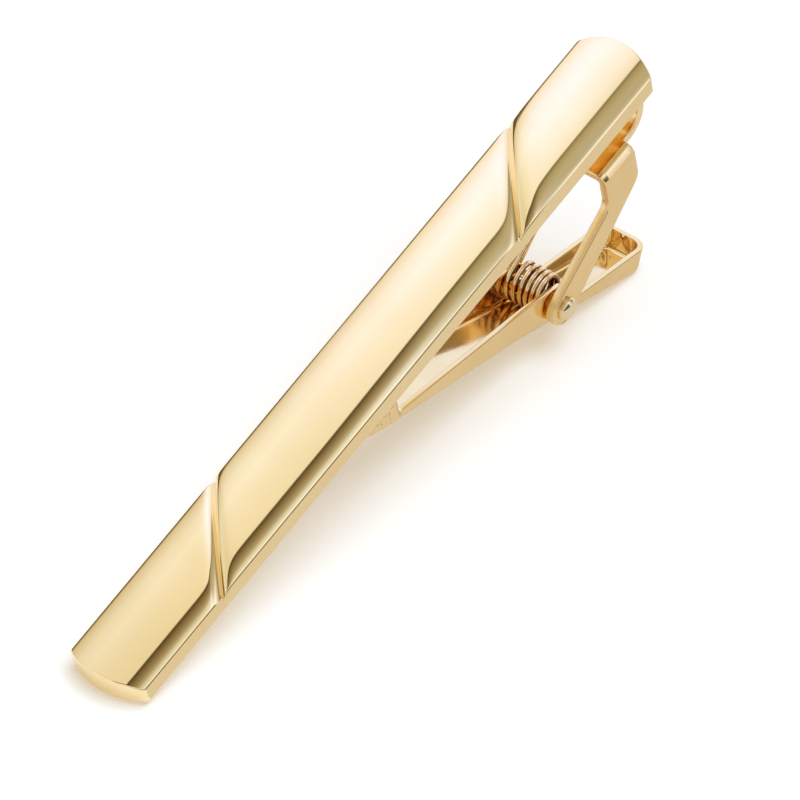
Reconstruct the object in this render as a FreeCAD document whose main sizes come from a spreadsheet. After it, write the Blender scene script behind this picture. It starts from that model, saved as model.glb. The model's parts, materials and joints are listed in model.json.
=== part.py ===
import FreeCAD, Part
import math
import os
import re
import Sketcher

# Sprung bar tie clip: a crowned bar, a folded hinge bracket, a rivet, a toothed jaw and a torsion spring.
# Millimetres and degrees. The origin is the middle of the bar's flat back. +X runs along the bar to its hinge end,
# +Z points out of the bar's front, and the jaw closes on the back from below.

SIZES = {
    # front bar
    "bar_length": 58.0,
    "bar_width": 6.0,
    "bar_edge": 1.4,
    "bar_crown": 0.85,
    "end_bow": 0.95,
    "groove_place": 16.4,
    "groove_run": 7.1,
    "groove_width": 0.75,
    "groove_depth": 0.3,
    # hinge bracket, one folded sheet
    "bracket_sheet": 0.7,
    "bracket_width": 5.5,
    "bend_inside": 0.15,
    "foot_length": 5.5,
    "fold_inset": 2.9,
    "base_depth": 4.05,
    "base_setback": 0.5,
    "base_length": 3.3,
    "pivot_setback": 9.7,
    "pivot_depth": 10.75,
    "ear_radius": 1.3,
    "leg_top_slope": 25.7,
    "leg_under_slope": 31.2,
    "knee_radius": 1.0,
    "heel_radius": 1.2,
    # rivet
    "pin_radius": 0.6,
    "head_radius": 0.85,
    "head_height": 0.6,
    "rivet_gap": 0.01,
    "running_gap": 0.05,
    # jaw
    "jaw_sheet": 0.4,
    "side_play": 0.15,
    "mouth_width": 5.3,
    "jaw_reach": 22.6,
    "tail_reach": 11.3,
    "floor_drop": 1.7,
    "mouth_drop": 0.95,
    "mouth_gap": 0.08,
    "rim_slope": 6.4,
    "jaw_ear": 1.25,
    "shoulder_slope": 45.0,
    "tail_wall": 2.0,
    "tail_dip": 1.0,
    "hinge_flat": 4.0,
    "mouth_flat": 2.3,
    "mouth_corner": 0.8,
    "tail_corner": 1.2,
    "jaw_bend": 0.45,
    "tooth_land": 0.45,
    "tooth_pitch": 0.87,
    "notch_width": 0.6,
    "notch_flank": 0.35,
    "tooth_count": 3,
    # spring
    "wire": 0.3,
    "coil_radius": 1.25,
    "coil_turns": 3,
    "coil_play": 0.04,
    "seat_gap": 0.05,
    "fixed_leg_slope": 21.0,
    "fixed_leg_run": 3.2,
    "fixed_leg_bend": 3.0,
    "fixed_leg_end_slope": 46.0,
    "moving_leg": 7.0,
}

# Lengths and angles that follow from the driving sizes
DERIVED = {
    "bar_top": "bar_edge + bar_crown",
    "crown_radius": "(bar_width ^ 2 / 4 + bar_crown ^ 2) / (2 * bar_crown)",
    "groove_radius": "((bar_width ^ 2 + groove_run ^ 2) / 4 + bar_crown ^ 2) / (2 * bar_crown)",
    "groove_turn": "-atan(groove_run / bar_width)",
    "end_radius": "(bar_width ^ 2 / 4 + end_bow ^ 2) / (2 * end_bow)",
    "cheek": "bracket_width / 2",
    "bend_outside": "bend_inside + bracket_sheet",
    "strip_width": "2 * (cheek - bend_outside)",
    "fold_place": "bar_length / 2 - fold_inset",
    "base_rear": "fold_place - base_setback",
    "base_front": "base_rear - base_length",
    "pivot_place": "fold_place - pivot_setback",
    "base_top": "base_depth - bracket_sheet",
    "fold_outside": "base_depth / 2",
    "fold_inside": "fold_outside - bracket_sheet",
    "knee_depth": "pivot_depth - ear_radius / cos(leg_top_slope) - (base_front - pivot_place) * tan(leg_top_slope)",
    "heel_depth": "pivot_depth + ear_radius / cos(leg_under_slope) - (base_rear - pivot_place) * tan(leg_under_slope)",
    "knee_tangent": "knee_radius / tan(45 + leg_top_slope / 2)",
    "heel_tangent": "heel_radius / tan(45 + leg_under_slope / 2)",
    "head_dome": "(head_radius ^ 2 + head_height ^ 2) / (2 * head_height)",
    "hinge_half": "cheek - bracket_sheet - side_play",
    "mouth_half": "mouth_width / 2",
    "tip_lever": "sqrt(jaw_reach ^ 2 + floor_drop ^ 2)",
    "jaw_angle": "asin((pivot_depth - mouth_drop) / tip_lever) / 1 deg + atan(floor_drop / jaw_reach) / 1 deg",
    "mouth_front": "pivot_place - jaw_reach / cos(jaw_angle) + pivot_depth * tan(jaw_angle)",
    "rim_angle": "jaw_angle - rim_slope",
    "tail_rim": "tail_wall - floor_drop",
    "tail_slope": "atan((tail_rim + tail_dip) / tail_reach)",
    "shoulder_fall": "sin(shoulder_slope) + cos(shoulder_slope) * tan(tail_slope)",
    "shoulder_end": "(jaw_ear + tail_dip * cos(shoulder_slope)) / shoulder_fall",
}

doc = FreeCAD.newDocument("tie_clip")
sheet = doc.addObject("Spreadsheet::Sheet", "Sizes")
WORD = re.compile(r"[a-z_]+")


def fill_sheet():
    """Writes the driving sizes as plain numbers, and the values that follow from them as formulas."""
    cells = [(name, str(value)) for name, value in SIZES.items()]
    cells += [(name, "=" + formula) for name, formula in DERIVED.items()]
    for row, (name, content) in enumerate(cells, start=1):
        sheet.set(f"A{row}", name)
        sheet.set(f"B{row}", content)
        sheet.setAlias(f"B{row}", name)
    doc.recompute()


def linked(formula):
    """Points every size named in a formula at its cell in the sheet."""

    def cell(word):
        known = word[0] in SIZES or word[0] in DERIVED
        return "Sizes." + word[0] if known else word[0]

    return WORD.sub(cell, str(formula))


def value(formula):
    """The number that a formula of sizes gives."""
    found = sheet.evalExpression(linked(formula))
    return float(getattr(found, "Value", found))


def new_body(label):
    """An empty body, which names its own file."""
    body = doc.addObject("PartDesign::Body", label)
    body.Label = label
    return body


def new_sketch(body, name, role, lift="0"):
    """A sketch on one of the body's own planes, lifted along that plane's normal."""
    plane = next(item for item in body.Origin.OriginFeatures if item.Role == role)
    sketch = body.newObject("Sketcher::SketchObject", name)
    sketch.AttachmentSupport = (plane, [""])
    sketch.MapMode = "FlatFace"
    sketch.setExpression("AttachmentOffset.Base.z", linked(lift))
    return sketch


def bind(sketch, constraint, formula):
    """Adds a dimension to a sketch and ties it to the sheet."""
    index = sketch.addConstraint(constraint)
    sketch.setExpression(f"Constraints[{index}]", linked(formula))


def pin_down(sketch, edge, end, corner):
    """Holds one end of an edge at a corner given by two formulas, on an axis where a formula is 0."""
    for kind, formula, axis in (("DistanceX", corner[0], -2), ("DistanceY", corner[1], -1)):
        if formula == "0":
            sketch.addConstraint(Sketcher.Constraint("PointOnObject", edge, end, axis))
        else:
            dimension = Sketcher.Constraint(kind, -1, 1, edge, end, value(formula))
            bind(sketch, dimension, formula)


def arc_between(start, end, radius, left):
    """The arc under a half circle from start to end, curving to the left or right of the way it goes."""
    chord = end - start
    across = FreeCAD.Vector(-chord.y, chord.x, 0) / chord.Length
    height = math.sqrt(max(radius**2 - (chord.Length / 2) ** 2, 0.0))
    centre = (start + end) / 2 + across * (height if left else -height)
    first, last = (start, end) if left else (end, start)
    angles = [math.atan2(point.y - centre.y, point.x - centre.x) for point in (first, last)]
    circle = Part.Circle(centre, FreeCAD.Vector(0, 0, 1), radius)
    return Part.ArcOfCircle(circle, angles[0], angles[1])


def outline(sketch, corners):
    """Draws a closed outline through corners, each two formulas and, where the next edge is an arc, its radius.

    A radius that starts with "left" or "right" says which way the arc turns as the outline goes round.
    """
    places = [FreeCAD.Vector(value(corner[0]), value(corner[1]), 0) for corner in corners]
    ends = []
    for index, corner in enumerate(corners):
        start = places[index]
        end = places[(index + 1) % len(places)]
        if len(corner) == 2:
            edge = sketch.addGeometry(Part.LineSegment(start, end), False)
            ends.append((edge, 1, 2))
            continue
        side, radius = corner[2].split(" ", 1)
        left = side == "left"
        edge = sketch.addGeometry(arc_between(start, end, value(radius), left), False)
        bind(sketch, Sketcher.Constraint("Radius", edge, value(radius)), radius)
        ends.append((edge, 1, 2) if left else (edge, 2, 1))
    for index, (edge, first, last) in enumerate(ends):
        following = ends[(index + 1) % len(ends)]
        sketch.addConstraint(Sketcher.Constraint("Coincident", edge, last, following[0], following[1]))
        pin_down(sketch, edge, first, corners[index])


def circle(sketch, centre, radius):
    """Draws a full circle about a centre given by two formulas."""
    middle = FreeCAD.Vector(value(centre[0]), value(centre[1]), 0)
    ring = Part.Circle(middle, FreeCAD.Vector(0, 0, 1), value(radius))
    edge = sketch.addGeometry(ring, False)
    pin_down(sketch, edge, 3, centre)
    bind(sketch, Sketcher.Constraint("Radius", edge, value(radius)), radius)


def pad(body, name, sketch, length, both_ways=False):
    """Raises a sketch by a length, to one side or half to each."""
    feature = body.newObject("PartDesign::Pad", name)
    feature.Profile = sketch
    feature.SideType = "Symmetric" if both_ways else "One side"
    feature.setExpression("Length", linked(length))
    doc.recompute()
    return feature


def cut(body, name, sketch, both_ways=True, reverse=False):
    """Cuts a sketch right through, to both sides or to one, and checks that it took something away."""
    before = body.Shape.Volume
    feature = body.newObject("PartDesign::Pocket", name)
    feature.Profile = sketch
    feature.Type = "ThroughAll"
    feature.SideType = "Symmetric" if both_ways else "One side"
    feature.Reversed = reverse
    doc.recompute()
    assert body.Shape.Volume < before, name + " cut nothing"
    return feature


def make_front_bar():
    """The bar: a plan with bowed ends, crowned across its width, with two slanting V grooves."""
    body = new_body("front_bar")
    plan = new_sketch(body, "bar_plan", "XY_Plane")
    corner_x = "bar_length / 2 - end_bow"
    outline(
        plan,
        [
            (f"-({corner_x})", "-bar_width / 2"),
            (corner_x, "-bar_width / 2", "left end_radius"),
            (corner_x, "bar_width / 2"),
            (f"-({corner_x})", "bar_width / 2", "left end_radius"),
        ],
    )
    pad(body, "bar_blank", plan, "bar_top")
    crown = new_sketch(body, "bar_crown_section", "YZ_Plane")
    outline(
        crown,
        [
            ("-bar_width", "bar_edge"),
            ("-bar_width / 2", "bar_edge", "right crown_radius"),
            ("bar_width / 2", "bar_edge"),
            ("bar_width", "bar_edge"),
            ("bar_width", "2 * bar_top"),
            ("-bar_width", "2 * bar_top"),
        ],
    )
    cut(body, "bar_crowning", crown)
    for side, end in ((1, "hinge_end"), (-1, "plain_end")):
        make_groove(body, side, end)
    return body


def make_groove(body, side, end):
    """One V groove that follows the crown on the slant, turned about an axis far below the bar."""
    sketch = new_sketch(body, f"groove_section_{end}", "XZ_Plane")
    sketch.AttachmentOffset = FreeCAD.Placement(
        FreeCAD.Vector(), FreeCAD.Rotation(FreeCAD.Vector(0, 1, 0), value("groove_turn"))
    )
    sketch.setExpression("AttachmentOffset.Base.x", linked(f"{side} * groove_place"))
    sketch.setExpression("AttachmentOffset.Base.y", linked("bar_top - groove_radius"))
    sketch.setExpression("AttachmentOffset.Rotation.Angle", linked("groove_turn"))
    outline(
        sketch,
        [
            ("0", "groove_radius - groove_depth"),
            ("groove_width / 2", "groove_radius"),
            ("groove_width / 2", "groove_radius + groove_depth"),
            ("-groove_width / 2", "groove_radius + groove_depth"),
            ("-groove_width / 2", "groove_radius"),
        ],
    )
    doc.recompute()
    before = body.Shape.Volume
    groove = body.newObject("PartDesign::Groove", f"groove_{end}")
    groove.Profile = sketch
    groove.ReferenceAxis = (sketch, ["H_Axis"])
    groove.Angle = 360.0
    doc.recompute()
    assert body.Shape.Volume < before, "a groove cut nothing"


def make_hinge_bracket():
    """The bracket: a saddle with two cheeks trimmed to legs and ears, and a strip folded back under the bar."""
    body = new_body("hinge_bracket")
    saddle = new_sketch(body, "saddle_section", "YZ_Plane", "pivot_place - ear_radius")
    foot = "-(pivot_depth + 2 * ear_radius)"
    inner = "cheek - bracket_sheet"
    bend_start = "cheek - bend_outside"
    bend_end = "-(base_top + bend_outside)"
    outline(
        saddle,
        [
            (f"-({inner})", foot),
            (f"-({inner})", bend_end, "right bend_inside"),
            (f"-({bend_start})", "-base_depth"),
            (bend_start, "-base_depth", "right bend_inside"),
            (inner, bend_end),
            (inner, foot),
            ("cheek", foot),
            ("cheek", bend_end, "left bend_outside"),
            (bend_start, "-base_top"),
            (f"-({bend_start})", "-base_top", "left bend_outside"),
            ("-cheek", bend_end),
            ("-cheek", foot),
        ],
    )
    pad(body, "saddle", saddle, "base_rear - pivot_place + ear_radius")
    trim = new_sketch(body, "cheek_side", "XZ_Plane")
    far_left = "pivot_place - 2 * ear_radius"
    far_right = "base_rear + ear_radius"
    below = "-(pivot_depth + 3 * ear_radius)"
    outline(
        trim,
        [(far_left, "0"), (far_left, below), (far_right, below), (far_right, "0")],
    )
    outline(
        trim,
        [
            ("base_front", "-base_top"),
            ("base_rear", "-base_top"),
            ("base_rear", "heel_tangent - heel_depth", "right heel_radius"),
            (
                "base_rear - heel_tangent * cos(leg_under_slope)",
                "-heel_depth - heel_tangent * sin(leg_under_slope)",
            ),
            (
                "pivot_place + ear_radius * sin(leg_under_slope)",
                "-pivot_depth - ear_radius * cos(leg_under_slope)",
                "right ear_radius",
            ),
            ("pivot_place - ear_radius", "-pivot_depth", "right ear_radius"),
            (
                "pivot_place - ear_radius * sin(leg_top_slope)",
                "-pivot_depth + ear_radius * cos(leg_top_slope)",
            ),
            (
                "base_front - knee_tangent * cos(leg_top_slope)",
                "-knee_depth - knee_tangent * sin(leg_top_slope)",
                "left knee_radius",
            ),
            ("base_front", "knee_tangent - knee_depth"),
        ],
    )
    cut(body, "cheek_trim", trim)
    strip = new_sketch(body, "strip_side", "XZ_Plane")
    foot_front = "fold_place - foot_length"
    outline(
        strip,
        [
            (foot_front, "0"),
            (foot_front, "-bracket_sheet"),
            ("fold_place", "-bracket_sheet", "right fold_inside"),
            ("fold_place + fold_inside", "-fold_outside", "right fold_inside"),
            ("fold_place", "-base_top"),
            ("base_front", "-base_top"),
            ("base_front", "-base_depth"),
            ("fold_place", "-base_depth", "left fold_outside"),
            ("fold_place + fold_outside", "-fold_outside", "left fold_outside"),
            ("fold_place", "0"),
        ],
    )
    pad(body, "folded_strip", strip, "strip_width", both_ways=True)
    hole = new_sketch(body, "rivet_hole", "XZ_Plane")
    circle(hole, ("pivot_place", "-pivot_depth"), "pin_radius + rivet_gap")
    cut(body, "rivet_holes", hole)
    return body


def make_hinge_pin():
    """The rivet: a shank from cheek to cheek with a low dome on each end."""
    body = new_body("hinge_pin")
    section = new_sketch(body, "rivet_section", "XY_Plane")
    outline(
        section,
        [
            ("0", "-(cheek + head_height)", "left head_dome"),
            ("head_radius", "-cheek"),
            ("pin_radius", "-cheek"),
            ("pin_radius", "cheek"),
            ("head_radius", "cheek", "left head_dome"),
            ("0", "cheek + head_height"),
        ],
    )
    rivet = body.newObject("PartDesign::Revolution", "rivet")
    rivet.Profile = section
    rivet.ReferenceAxis = (section, ["V_Axis"])
    rivet.Angle = 360.0
    body.setExpression("Placement.Base.x", linked("pivot_place"))
    body.setExpression("Placement.Base.z", linked("-pivot_depth"))
    doc.recompute()
    return body


def in_jaw(along, up):
    """A place measured from the pivot along and square to the bar, in the sloping jaw's own axes."""
    return (
        f"({along}) * cos(jaw_angle) - ({up}) * sin(jaw_angle)",
        f"({along}) * sin(jaw_angle) + ({up}) * cos(jaw_angle)",
    )


def jaw_plan(inset):
    """Corners of the jaw's plan, seen square to its floor and drawn in by an inset."""
    front = f"-(jaw_reach - {inset})"
    back = f"tail_reach - {inset}"
    hinge = f"hinge_half - {inset}"
    mouth = f"mouth_half - {inset}"
    front_turn = "-(jaw_reach - mouth_corner)"
    back_turn = "tail_reach - tail_corner"
    return [
        (front, f"-({mouth} - mouth_corner + {inset})", f"left mouth_corner - {inset}"),
        (front_turn, f"-({mouth})"),
        ("-(jaw_reach - mouth_flat)", f"-({mouth})"),
        ("-hinge_flat", f"-({hinge})"),
        (back_turn, f"-({hinge})", f"left tail_corner - {inset}"),
        (back, f"-({hinge} - tail_corner + {inset})"),
        (back, f"{hinge} - tail_corner + {inset}", f"left tail_corner - {inset}"),
        (back_turn, hinge),
        ("-hinge_flat", hinge),
        ("-(jaw_reach - mouth_flat)", mouth),
        (front_turn, mouth, f"left mouth_corner - {inset}"),
        (front, f"{mouth} - mouth_corner + {inset}"),
    ]


def jaw_rim():
    """Corners of what is cut away above the jaw's rim: teeth under the bar's back, a rim, an ear, a tail."""
    back = "pivot_depth - mouth_gap"
    start = "mouth_front - pivot_place"
    rim_end = f"{start} + tooth_land + tooth_count * tooth_pitch"
    notch_floor = f"{back} - notch_flank"
    above = "jaw_ear + 2 * jaw_sheet"
    corners = [
        ("-(jaw_reach + tooth_pitch)", above),
        in_jaw(f"{start} - 2 * tooth_pitch", back),
    ]
    for tooth in range(int(SIZES["tooth_count"])):
        near = f"{start} + tooth_land + {tooth} * tooth_pitch"
        middle = f"{near} + notch_width / 2"
        far = f"{near} + notch_width"
        corners.append(in_jaw(near, back))
        corners.append(in_jaw(near, notch_floor) + ("left notch_width / 2",))
        corners.append(in_jaw(middle, f"{notch_floor} - notch_width / 2") + ("left notch_width / 2",))
        corners.append(in_jaw(far, notch_floor))
        corners.append(in_jaw(far, back))
    corners.append(in_jaw(rim_end, back))
    corners.append(in_jaw(rim_end, f"jaw_ear / cos(rim_angle) - ({rim_end}) * tan(rim_angle)"))
    corners.append(("-jaw_ear * sin(rim_slope)", "jaw_ear * cos(rim_slope)", "right jaw_ear"))
    corners.append(("jaw_ear * sin(shoulder_slope)", "jaw_ear * cos(shoulder_slope)"))
    corners.append(("shoulder_end", "shoulder_end * tan(tail_slope) - tail_dip"))
    corners.append(("tail_reach + tooth_pitch", "tail_rim + tooth_pitch * tan(tail_slope)"))
    corners.append(("tail_reach + tooth_pitch", above))
    return corners


def make_clip_jaw():
    """The jaw: a tray with a flared mouth, hollowed from its floor up, its rim cut to teeth, ears and a thumb tail."""
    body = new_body("clip_jaw")
    plan = new_sketch(body, "jaw_outside", "XY_Plane", "-floor_drop")
    outline(plan, jaw_plan("0"))
    blank = pad(body, "jaw_blank", plan, "floor_drop + jaw_ear + jaw_sheet")
    floor = min(range(len(blank.Shape.Faces)), key=lambda index: blank.Shape.Faces[index].CenterOfMass.z)
    bend = body.newObject("PartDesign::Fillet", "jaw_floor_bend")
    bend.Base = (blank, [f"Face{floor + 1}"])
    bend.setExpression("Radius", linked("min(jaw_bend; mouth_corner - jaw_sheet / 4)"))
    doc.recompute()
    inside = new_sketch(body, "jaw_inside", "XY_Plane", "jaw_sheet - floor_drop")
    outline(inside, jaw_plan("jaw_sheet"))
    cut(body, "jaw_hollow", inside, both_ways=False, reverse=True)
    rim = new_sketch(body, "jaw_rim", "XZ_Plane")
    outline(rim, jaw_rim())
    cut(body, "jaw_rim_cut", rim)
    hole = new_sketch(body, "pivot_hole", "XZ_Plane")
    circle(hole, ("0", "0"), "pin_radius + running_gap")
    cut(body, "pivot_holes", hole)
    body.Placement = FreeCAD.Placement(
        FreeCAD.Vector(), FreeCAD.Rotation(FreeCAD.Vector(0, 1, 0), value("jaw_angle"))
    )
    body.setExpression("Placement.Base.x", linked("pivot_place"))
    body.setExpression("Placement.Base.z", linked("-pivot_depth"))
    body.setExpression("Placement.Rotation.Angle", linked("jaw_angle"))
    doc.recompute()
    return body


def biarc(start, way_in, end, way_out):
    """Two arcs that leave start along one direction and reach end along another, as a list of edges."""
    span = end - start
    both = way_in + way_out
    turn = 2 * (1 - way_in.dot(way_out))
    reach = (math.sqrt(span.dot(both) ** 2 + turn * span.dot(span)) - span.dot(both)) / turn
    joint = (start + end + (way_in - way_out) * reach) / 2
    return [arc_along(start, way_in, joint), arc_along(end, way_out * -1, joint)]


def arc_along(start, way, end):
    """The arc that leaves start along a direction and ends at a point, as an edge."""
    chord = end - start
    square = chord - way * chord.dot(way)
    square.normalize()
    radius = chord.dot(chord) / (2 * chord.dot(square))
    centre = start + square * radius
    middle = (start + end) / 2 - centre
    middle.normalize()
    return Part.Arc(start, centre + middle * radius, end).toShape()


def spring_wire():
    """The spring's centre line: a leg on the jaw's floor, a coil round the rivet, a leg up to the bracket."""
    slope = math.radians(value("jaw_angle"))
    radius = value("coil_radius")
    wire = value("wire")
    lift = value("jaw_sheet - floor_drop + seat_gap + wire / 2 + coil_radius")
    middle = FreeCAD.Vector(
        value("pivot_place") + lift * math.sin(slope), 0, lift * math.cos(slope) - value("pivot_depth")
    )
    half_length = value("hinge_half - jaw_sheet - coil_play - wire / 2")
    rise = math.radians(value("fixed_leg_slope"))
    first_angle = 1.5 * math.pi - slope
    last_angle = math.pi / 2 + rise - 2 * math.pi * value("coil_turns")
    sweep = first_angle - last_angle
    advance = 2 * half_length / sweep

    def on_coil(angle):
        along = (first_angle - angle) * advance - half_length
        return middle + FreeCAD.Vector(radius * math.cos(angle), along, radius * math.sin(angle))

    def way_at(angle):
        level = angle in (first_angle, last_angle)
        way = FreeCAD.Vector(radius * math.sin(angle), 0 if level else advance, -radius * math.cos(angle))
        way.normalize()
        return way

    coil_start = on_coil(first_angle)
    coil_end = on_coil(last_angle)
    steps = math.ceil(sweep / (math.pi / 2))
    angles = [first_angle - sweep * step / steps for step in range(steps)] + [last_angle]
    first_way = way_at(first_angle)
    last_way = way_at(last_angle)
    edges = [Part.LineSegment(coil_start - first_way * value("moving_leg"), coil_start).toShape()]
    for here, there in zip(angles, angles[1:]):
        edges += biarc(on_coil(here), way_at(here), on_coil(there), way_at(there))
    bend_start = coil_end + last_way * value("fixed_leg_run")
    end_rise = math.radians(value("fixed_leg_end_slope"))
    bend = value("fixed_leg_bend")
    bend_end = bend_start + FreeCAD.Vector(
        bend * (math.sin(end_rise) - math.sin(rise)), 0, bend * (math.cos(rise) - math.cos(end_rise))
    )
    seat = -value("base_depth + seat_gap") - wire / 2 * math.cos(end_rise)
    bend_edge = arc_along(bend_start, last_way, bend_end)
    end_way = bend_edge.tangentAt(bend_edge.LastParameter)
    leg_end = bend_end + end_way * ((seat - bend_end.z) / end_way.z)
    edges += [Part.LineSegment(coil_end, bend_start).toShape(), bend_edge]
    edges.append(Part.LineSegment(bend_end, leg_end).toShape())
    return Part.Wire(edges)


def least_gap(path, wire):
    """The least clear distance between stretches of a wire that lie a half turn or more apart along it."""
    points = path.discretize(Distance=wire / 2)
    apart = math.ceil(math.pi * value("coil_radius") / (wire / 2))
    spans = [
        points[first].distanceToPoint(points[second])
        for first in range(len(points))
        for second in range(first + apart, len(points))
    ]
    return min(spans) - wire


def make_torsion_spring():
    """The spring: one round wire swept along its centre line."""
    wire = value("wire")
    path = spring_wire()
    start = path.Edges[0]
    way = start.tangentAt(start.FirstParameter)
    ring = Part.makeCircle(wire / 2, start.valueAt(start.FirstParameter), way)
    spring = doc.addObject("Part::Feature", "torsion_spring")
    spring.Label = "torsion_spring"
    spring.Shape = path.makePipeShell([Part.Wire([ring])], True, False)
    expected = math.pi * wire**2 / 4 * path.Length
    print(f"spring: length {path.Length:.2f}, volume {spring.Shape.Volume:.3f} of {expected:.3f}")
    print(f"spring: least gap to itself {least_gap(path, wire):.3f}")
    return spring


def check_and_export(pieces):
    """Stops on any failed object or bad solid, then writes one file for each piece."""
    for item in doc.Objects:
        assert not {"Invalid", "Error"} & set(item.State), f"{item.Label} failed: {item.State}"
    for piece in pieces:
        assert not piece.Shape.isNull() and piece.Shape.isValid(), piece.Label + " is not a valid solid"
        assert len(piece.Shape.Solids) == 1, piece.Label + " is not one solid"
    os.makedirs("parts", exist_ok=True)
    for piece in pieces:
        piece.Shape.exportStep(f"parts/{piece.Label}.step")
        box = piece.Shape.BoundBox
        print(f"{piece.Label}: {box.XLength:.2f} x {box.YLength:.2f} x {box.ZLength:.2f}")


fill_sheet()
check_and_export(
    [
        make_front_bar(),
        make_hinge_bracket(),
        make_hinge_pin(),
        make_clip_jaw(),
        make_torsion_spring(),
    ]
)
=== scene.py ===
"""Dresses a sprung gold tie clip for the studio.

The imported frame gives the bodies, the hinge and the box. This script remakes every visible piece as a smooth
surface worked out with numpy, gives it a metal finish and sets up a light tent, a pale floor and the camera.

Lengths inside the classes are in millimetres, in the frame of the part: the origin is the middle of the
bar's flat back, +X runs to the hinge end and +Z points out of the bar's front.
"""

from __future__ import annotations

import json
import logging
import math
from abc import ABC, abstractmethod
from dataclasses import dataclass
from enum import Enum
from typing import Any

import bmesh
import bpy
import numpy as np
from mathutils import Matrix, Vector

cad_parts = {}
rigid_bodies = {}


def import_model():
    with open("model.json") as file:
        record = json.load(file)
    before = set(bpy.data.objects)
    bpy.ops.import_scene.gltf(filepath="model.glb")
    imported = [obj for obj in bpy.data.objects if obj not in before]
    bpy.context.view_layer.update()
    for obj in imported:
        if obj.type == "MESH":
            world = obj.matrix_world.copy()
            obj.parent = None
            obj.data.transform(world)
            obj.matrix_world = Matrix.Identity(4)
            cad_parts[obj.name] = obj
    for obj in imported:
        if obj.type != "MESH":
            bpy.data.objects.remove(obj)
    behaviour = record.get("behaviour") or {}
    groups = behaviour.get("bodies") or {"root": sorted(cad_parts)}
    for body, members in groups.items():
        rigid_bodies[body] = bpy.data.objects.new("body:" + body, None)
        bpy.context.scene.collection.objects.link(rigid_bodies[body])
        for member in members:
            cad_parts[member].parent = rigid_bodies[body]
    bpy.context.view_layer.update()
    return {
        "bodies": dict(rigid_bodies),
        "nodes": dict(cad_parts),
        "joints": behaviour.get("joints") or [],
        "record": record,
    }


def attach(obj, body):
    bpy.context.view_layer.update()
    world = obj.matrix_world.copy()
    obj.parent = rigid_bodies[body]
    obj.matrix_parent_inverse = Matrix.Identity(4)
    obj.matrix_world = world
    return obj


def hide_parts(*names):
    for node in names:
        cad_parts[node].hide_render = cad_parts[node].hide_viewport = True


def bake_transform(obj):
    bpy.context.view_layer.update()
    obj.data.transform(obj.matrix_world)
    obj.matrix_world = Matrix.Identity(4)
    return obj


MM = 0.001
# Attribute name: share of the spring wire that keeps the metal's colour, outside the painted shade between its
# turns.
OUTSIDE_GAP_SHADE = "outside_painted_gap_shade"
BEND_STEPS = 9
FINE_BEND_STEPS = 25
EDGE_SEGMENTS = 3
LARGE_FACE_WEIGHT = 60
ROUNDING = 1e-9
GLOSSY_BOUNCES = 12
Places = np.ndarray | float
Colour = tuple[float, float, float]
Stop = tuple[float, Colour]
log = logging.getLogger("tie_clip")


class Body(Enum):
    """The moving bodies of the clip."""

    FRAME = "frame"
    JAW = "jaw"


class Slot(Enum):
    """The record's finishes that the pieces take."""

    BAR = "polished_gold"
    SHEET = "pressed_gold"
    RIVET = "rivet_gold"
    WIRE = "spring_wire"


# Mesh tools


def grid_quads(rows: int, columns: int, ring: bool = False) -> np.ndarray:
    """Numbers the corners of a grid's quads, where point (row, column) is row * columns + column.

    Args:
        rows: Number of rows of points.
        columns: Number of points in a row.
        ring: Whether the last column joins the first.

    Returns:
        An array of four corners for each quad.
    """
    index = np.arange(rows * columns).reshape(rows, columns)
    ahead = np.roll(index, -1, axis=1)
    if not ring:
        index = index[:, :-1]
        ahead = ahead[:, :-1]
    return np.stack([index[:-1], ahead[:-1], ahead[1:], index[1:]], axis=-1).reshape(-1, 4)


def weld(
    points: np.ndarray, quads: np.ndarray, tolerance: float = 1e-5
) -> tuple[np.ndarray, list[list[int]]]:
    """Joins points that coincide, so that seams and poles close and quads with a short side become triangles.

    Args:
        points: Points in millimetres.
        quads: Four corners for each quad.
        tolerance: Distance in millimetres under which points count as one.

    Returns:
        The points that are left, and the faces as lists of corners.
    """
    keys = np.round(points / tolerance).astype(np.int64)
    _, first, place = np.unique(keys, axis=0, return_index=True, return_inverse=True)
    corners = place.reshape(-1)[quads]
    same = corners == np.roll(corners, -1, axis=1)
    doubled = same.sum(axis=1)
    triangles = corners[doubled == 1][~same[doubled == 1]].reshape(-1, 3)
    return points[first], corners[doubled == 0].tolist() + triangles.tolist()


def smooth_step(value: np.ndarray, low: float, high: float) -> np.ndarray:
    """Rises from 0 at low to 1 at high along the cubic 3t^2 - 2t^3."""
    part = np.clip((value - low) / (high - low), 0.0, 1.0)
    return part * part * (3.0 - 2.0 * part)


def round_bend(start: float, stop: float, steps: int = BEND_STEPS) -> tuple[np.ndarray, np.ndarray]:
    """Cosines and sines of evenly spaced angles, in degrees, from start to stop."""
    angle = np.radians(np.linspace(start, stop, steps))
    return np.cos(angle), np.sin(angle)


def place_points(along: Places, across: Places, up: Places) -> np.ndarray:
    """Puts places along, across and up into one array of points, after spreading them to one shape."""
    return np.stack(np.broadcast_arrays(along, across, up), axis=-1)


def add_object(name: str, data: bpy.types.ID) -> bpy.types.Object:
    """Makes an object at the origin and puts it into the scene.

    Args:
        name: Name of the object.
        data: Its mesh, camera or light.

    Returns:
        The new object.
    """
    item = bpy.data.objects.new(name, data)
    bpy.context.scene.collection.objects.link(item)
    return item


def new_piece(name: str, points: np.ndarray, faces: list[list[int]], closed: bool = True) -> bpy.types.Object:
    """Makes a smooth-shaded object at the origin from points in millimetres.

    Args:
        name: Name of the object.
        points: Points in millimetres.
        faces: Faces as lists of corners.
        closed: Whether the surface is a closed shell, whose faces are then all turned outwards.

    Returns:
        The new object.
    """
    mesh = bpy.data.meshes.new(name)
    mesh.from_pydata((points * MM).tolist(), [], faces)
    if closed:
        shell = bmesh.new()
        shell.from_mesh(mesh)
        bmesh.ops.recalc_face_normals(shell, faces=shell.faces)
        shell.to_mesh(mesh)
        shell.free()
    mesh.shade_smooth()
    return add_object(name, mesh)


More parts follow.
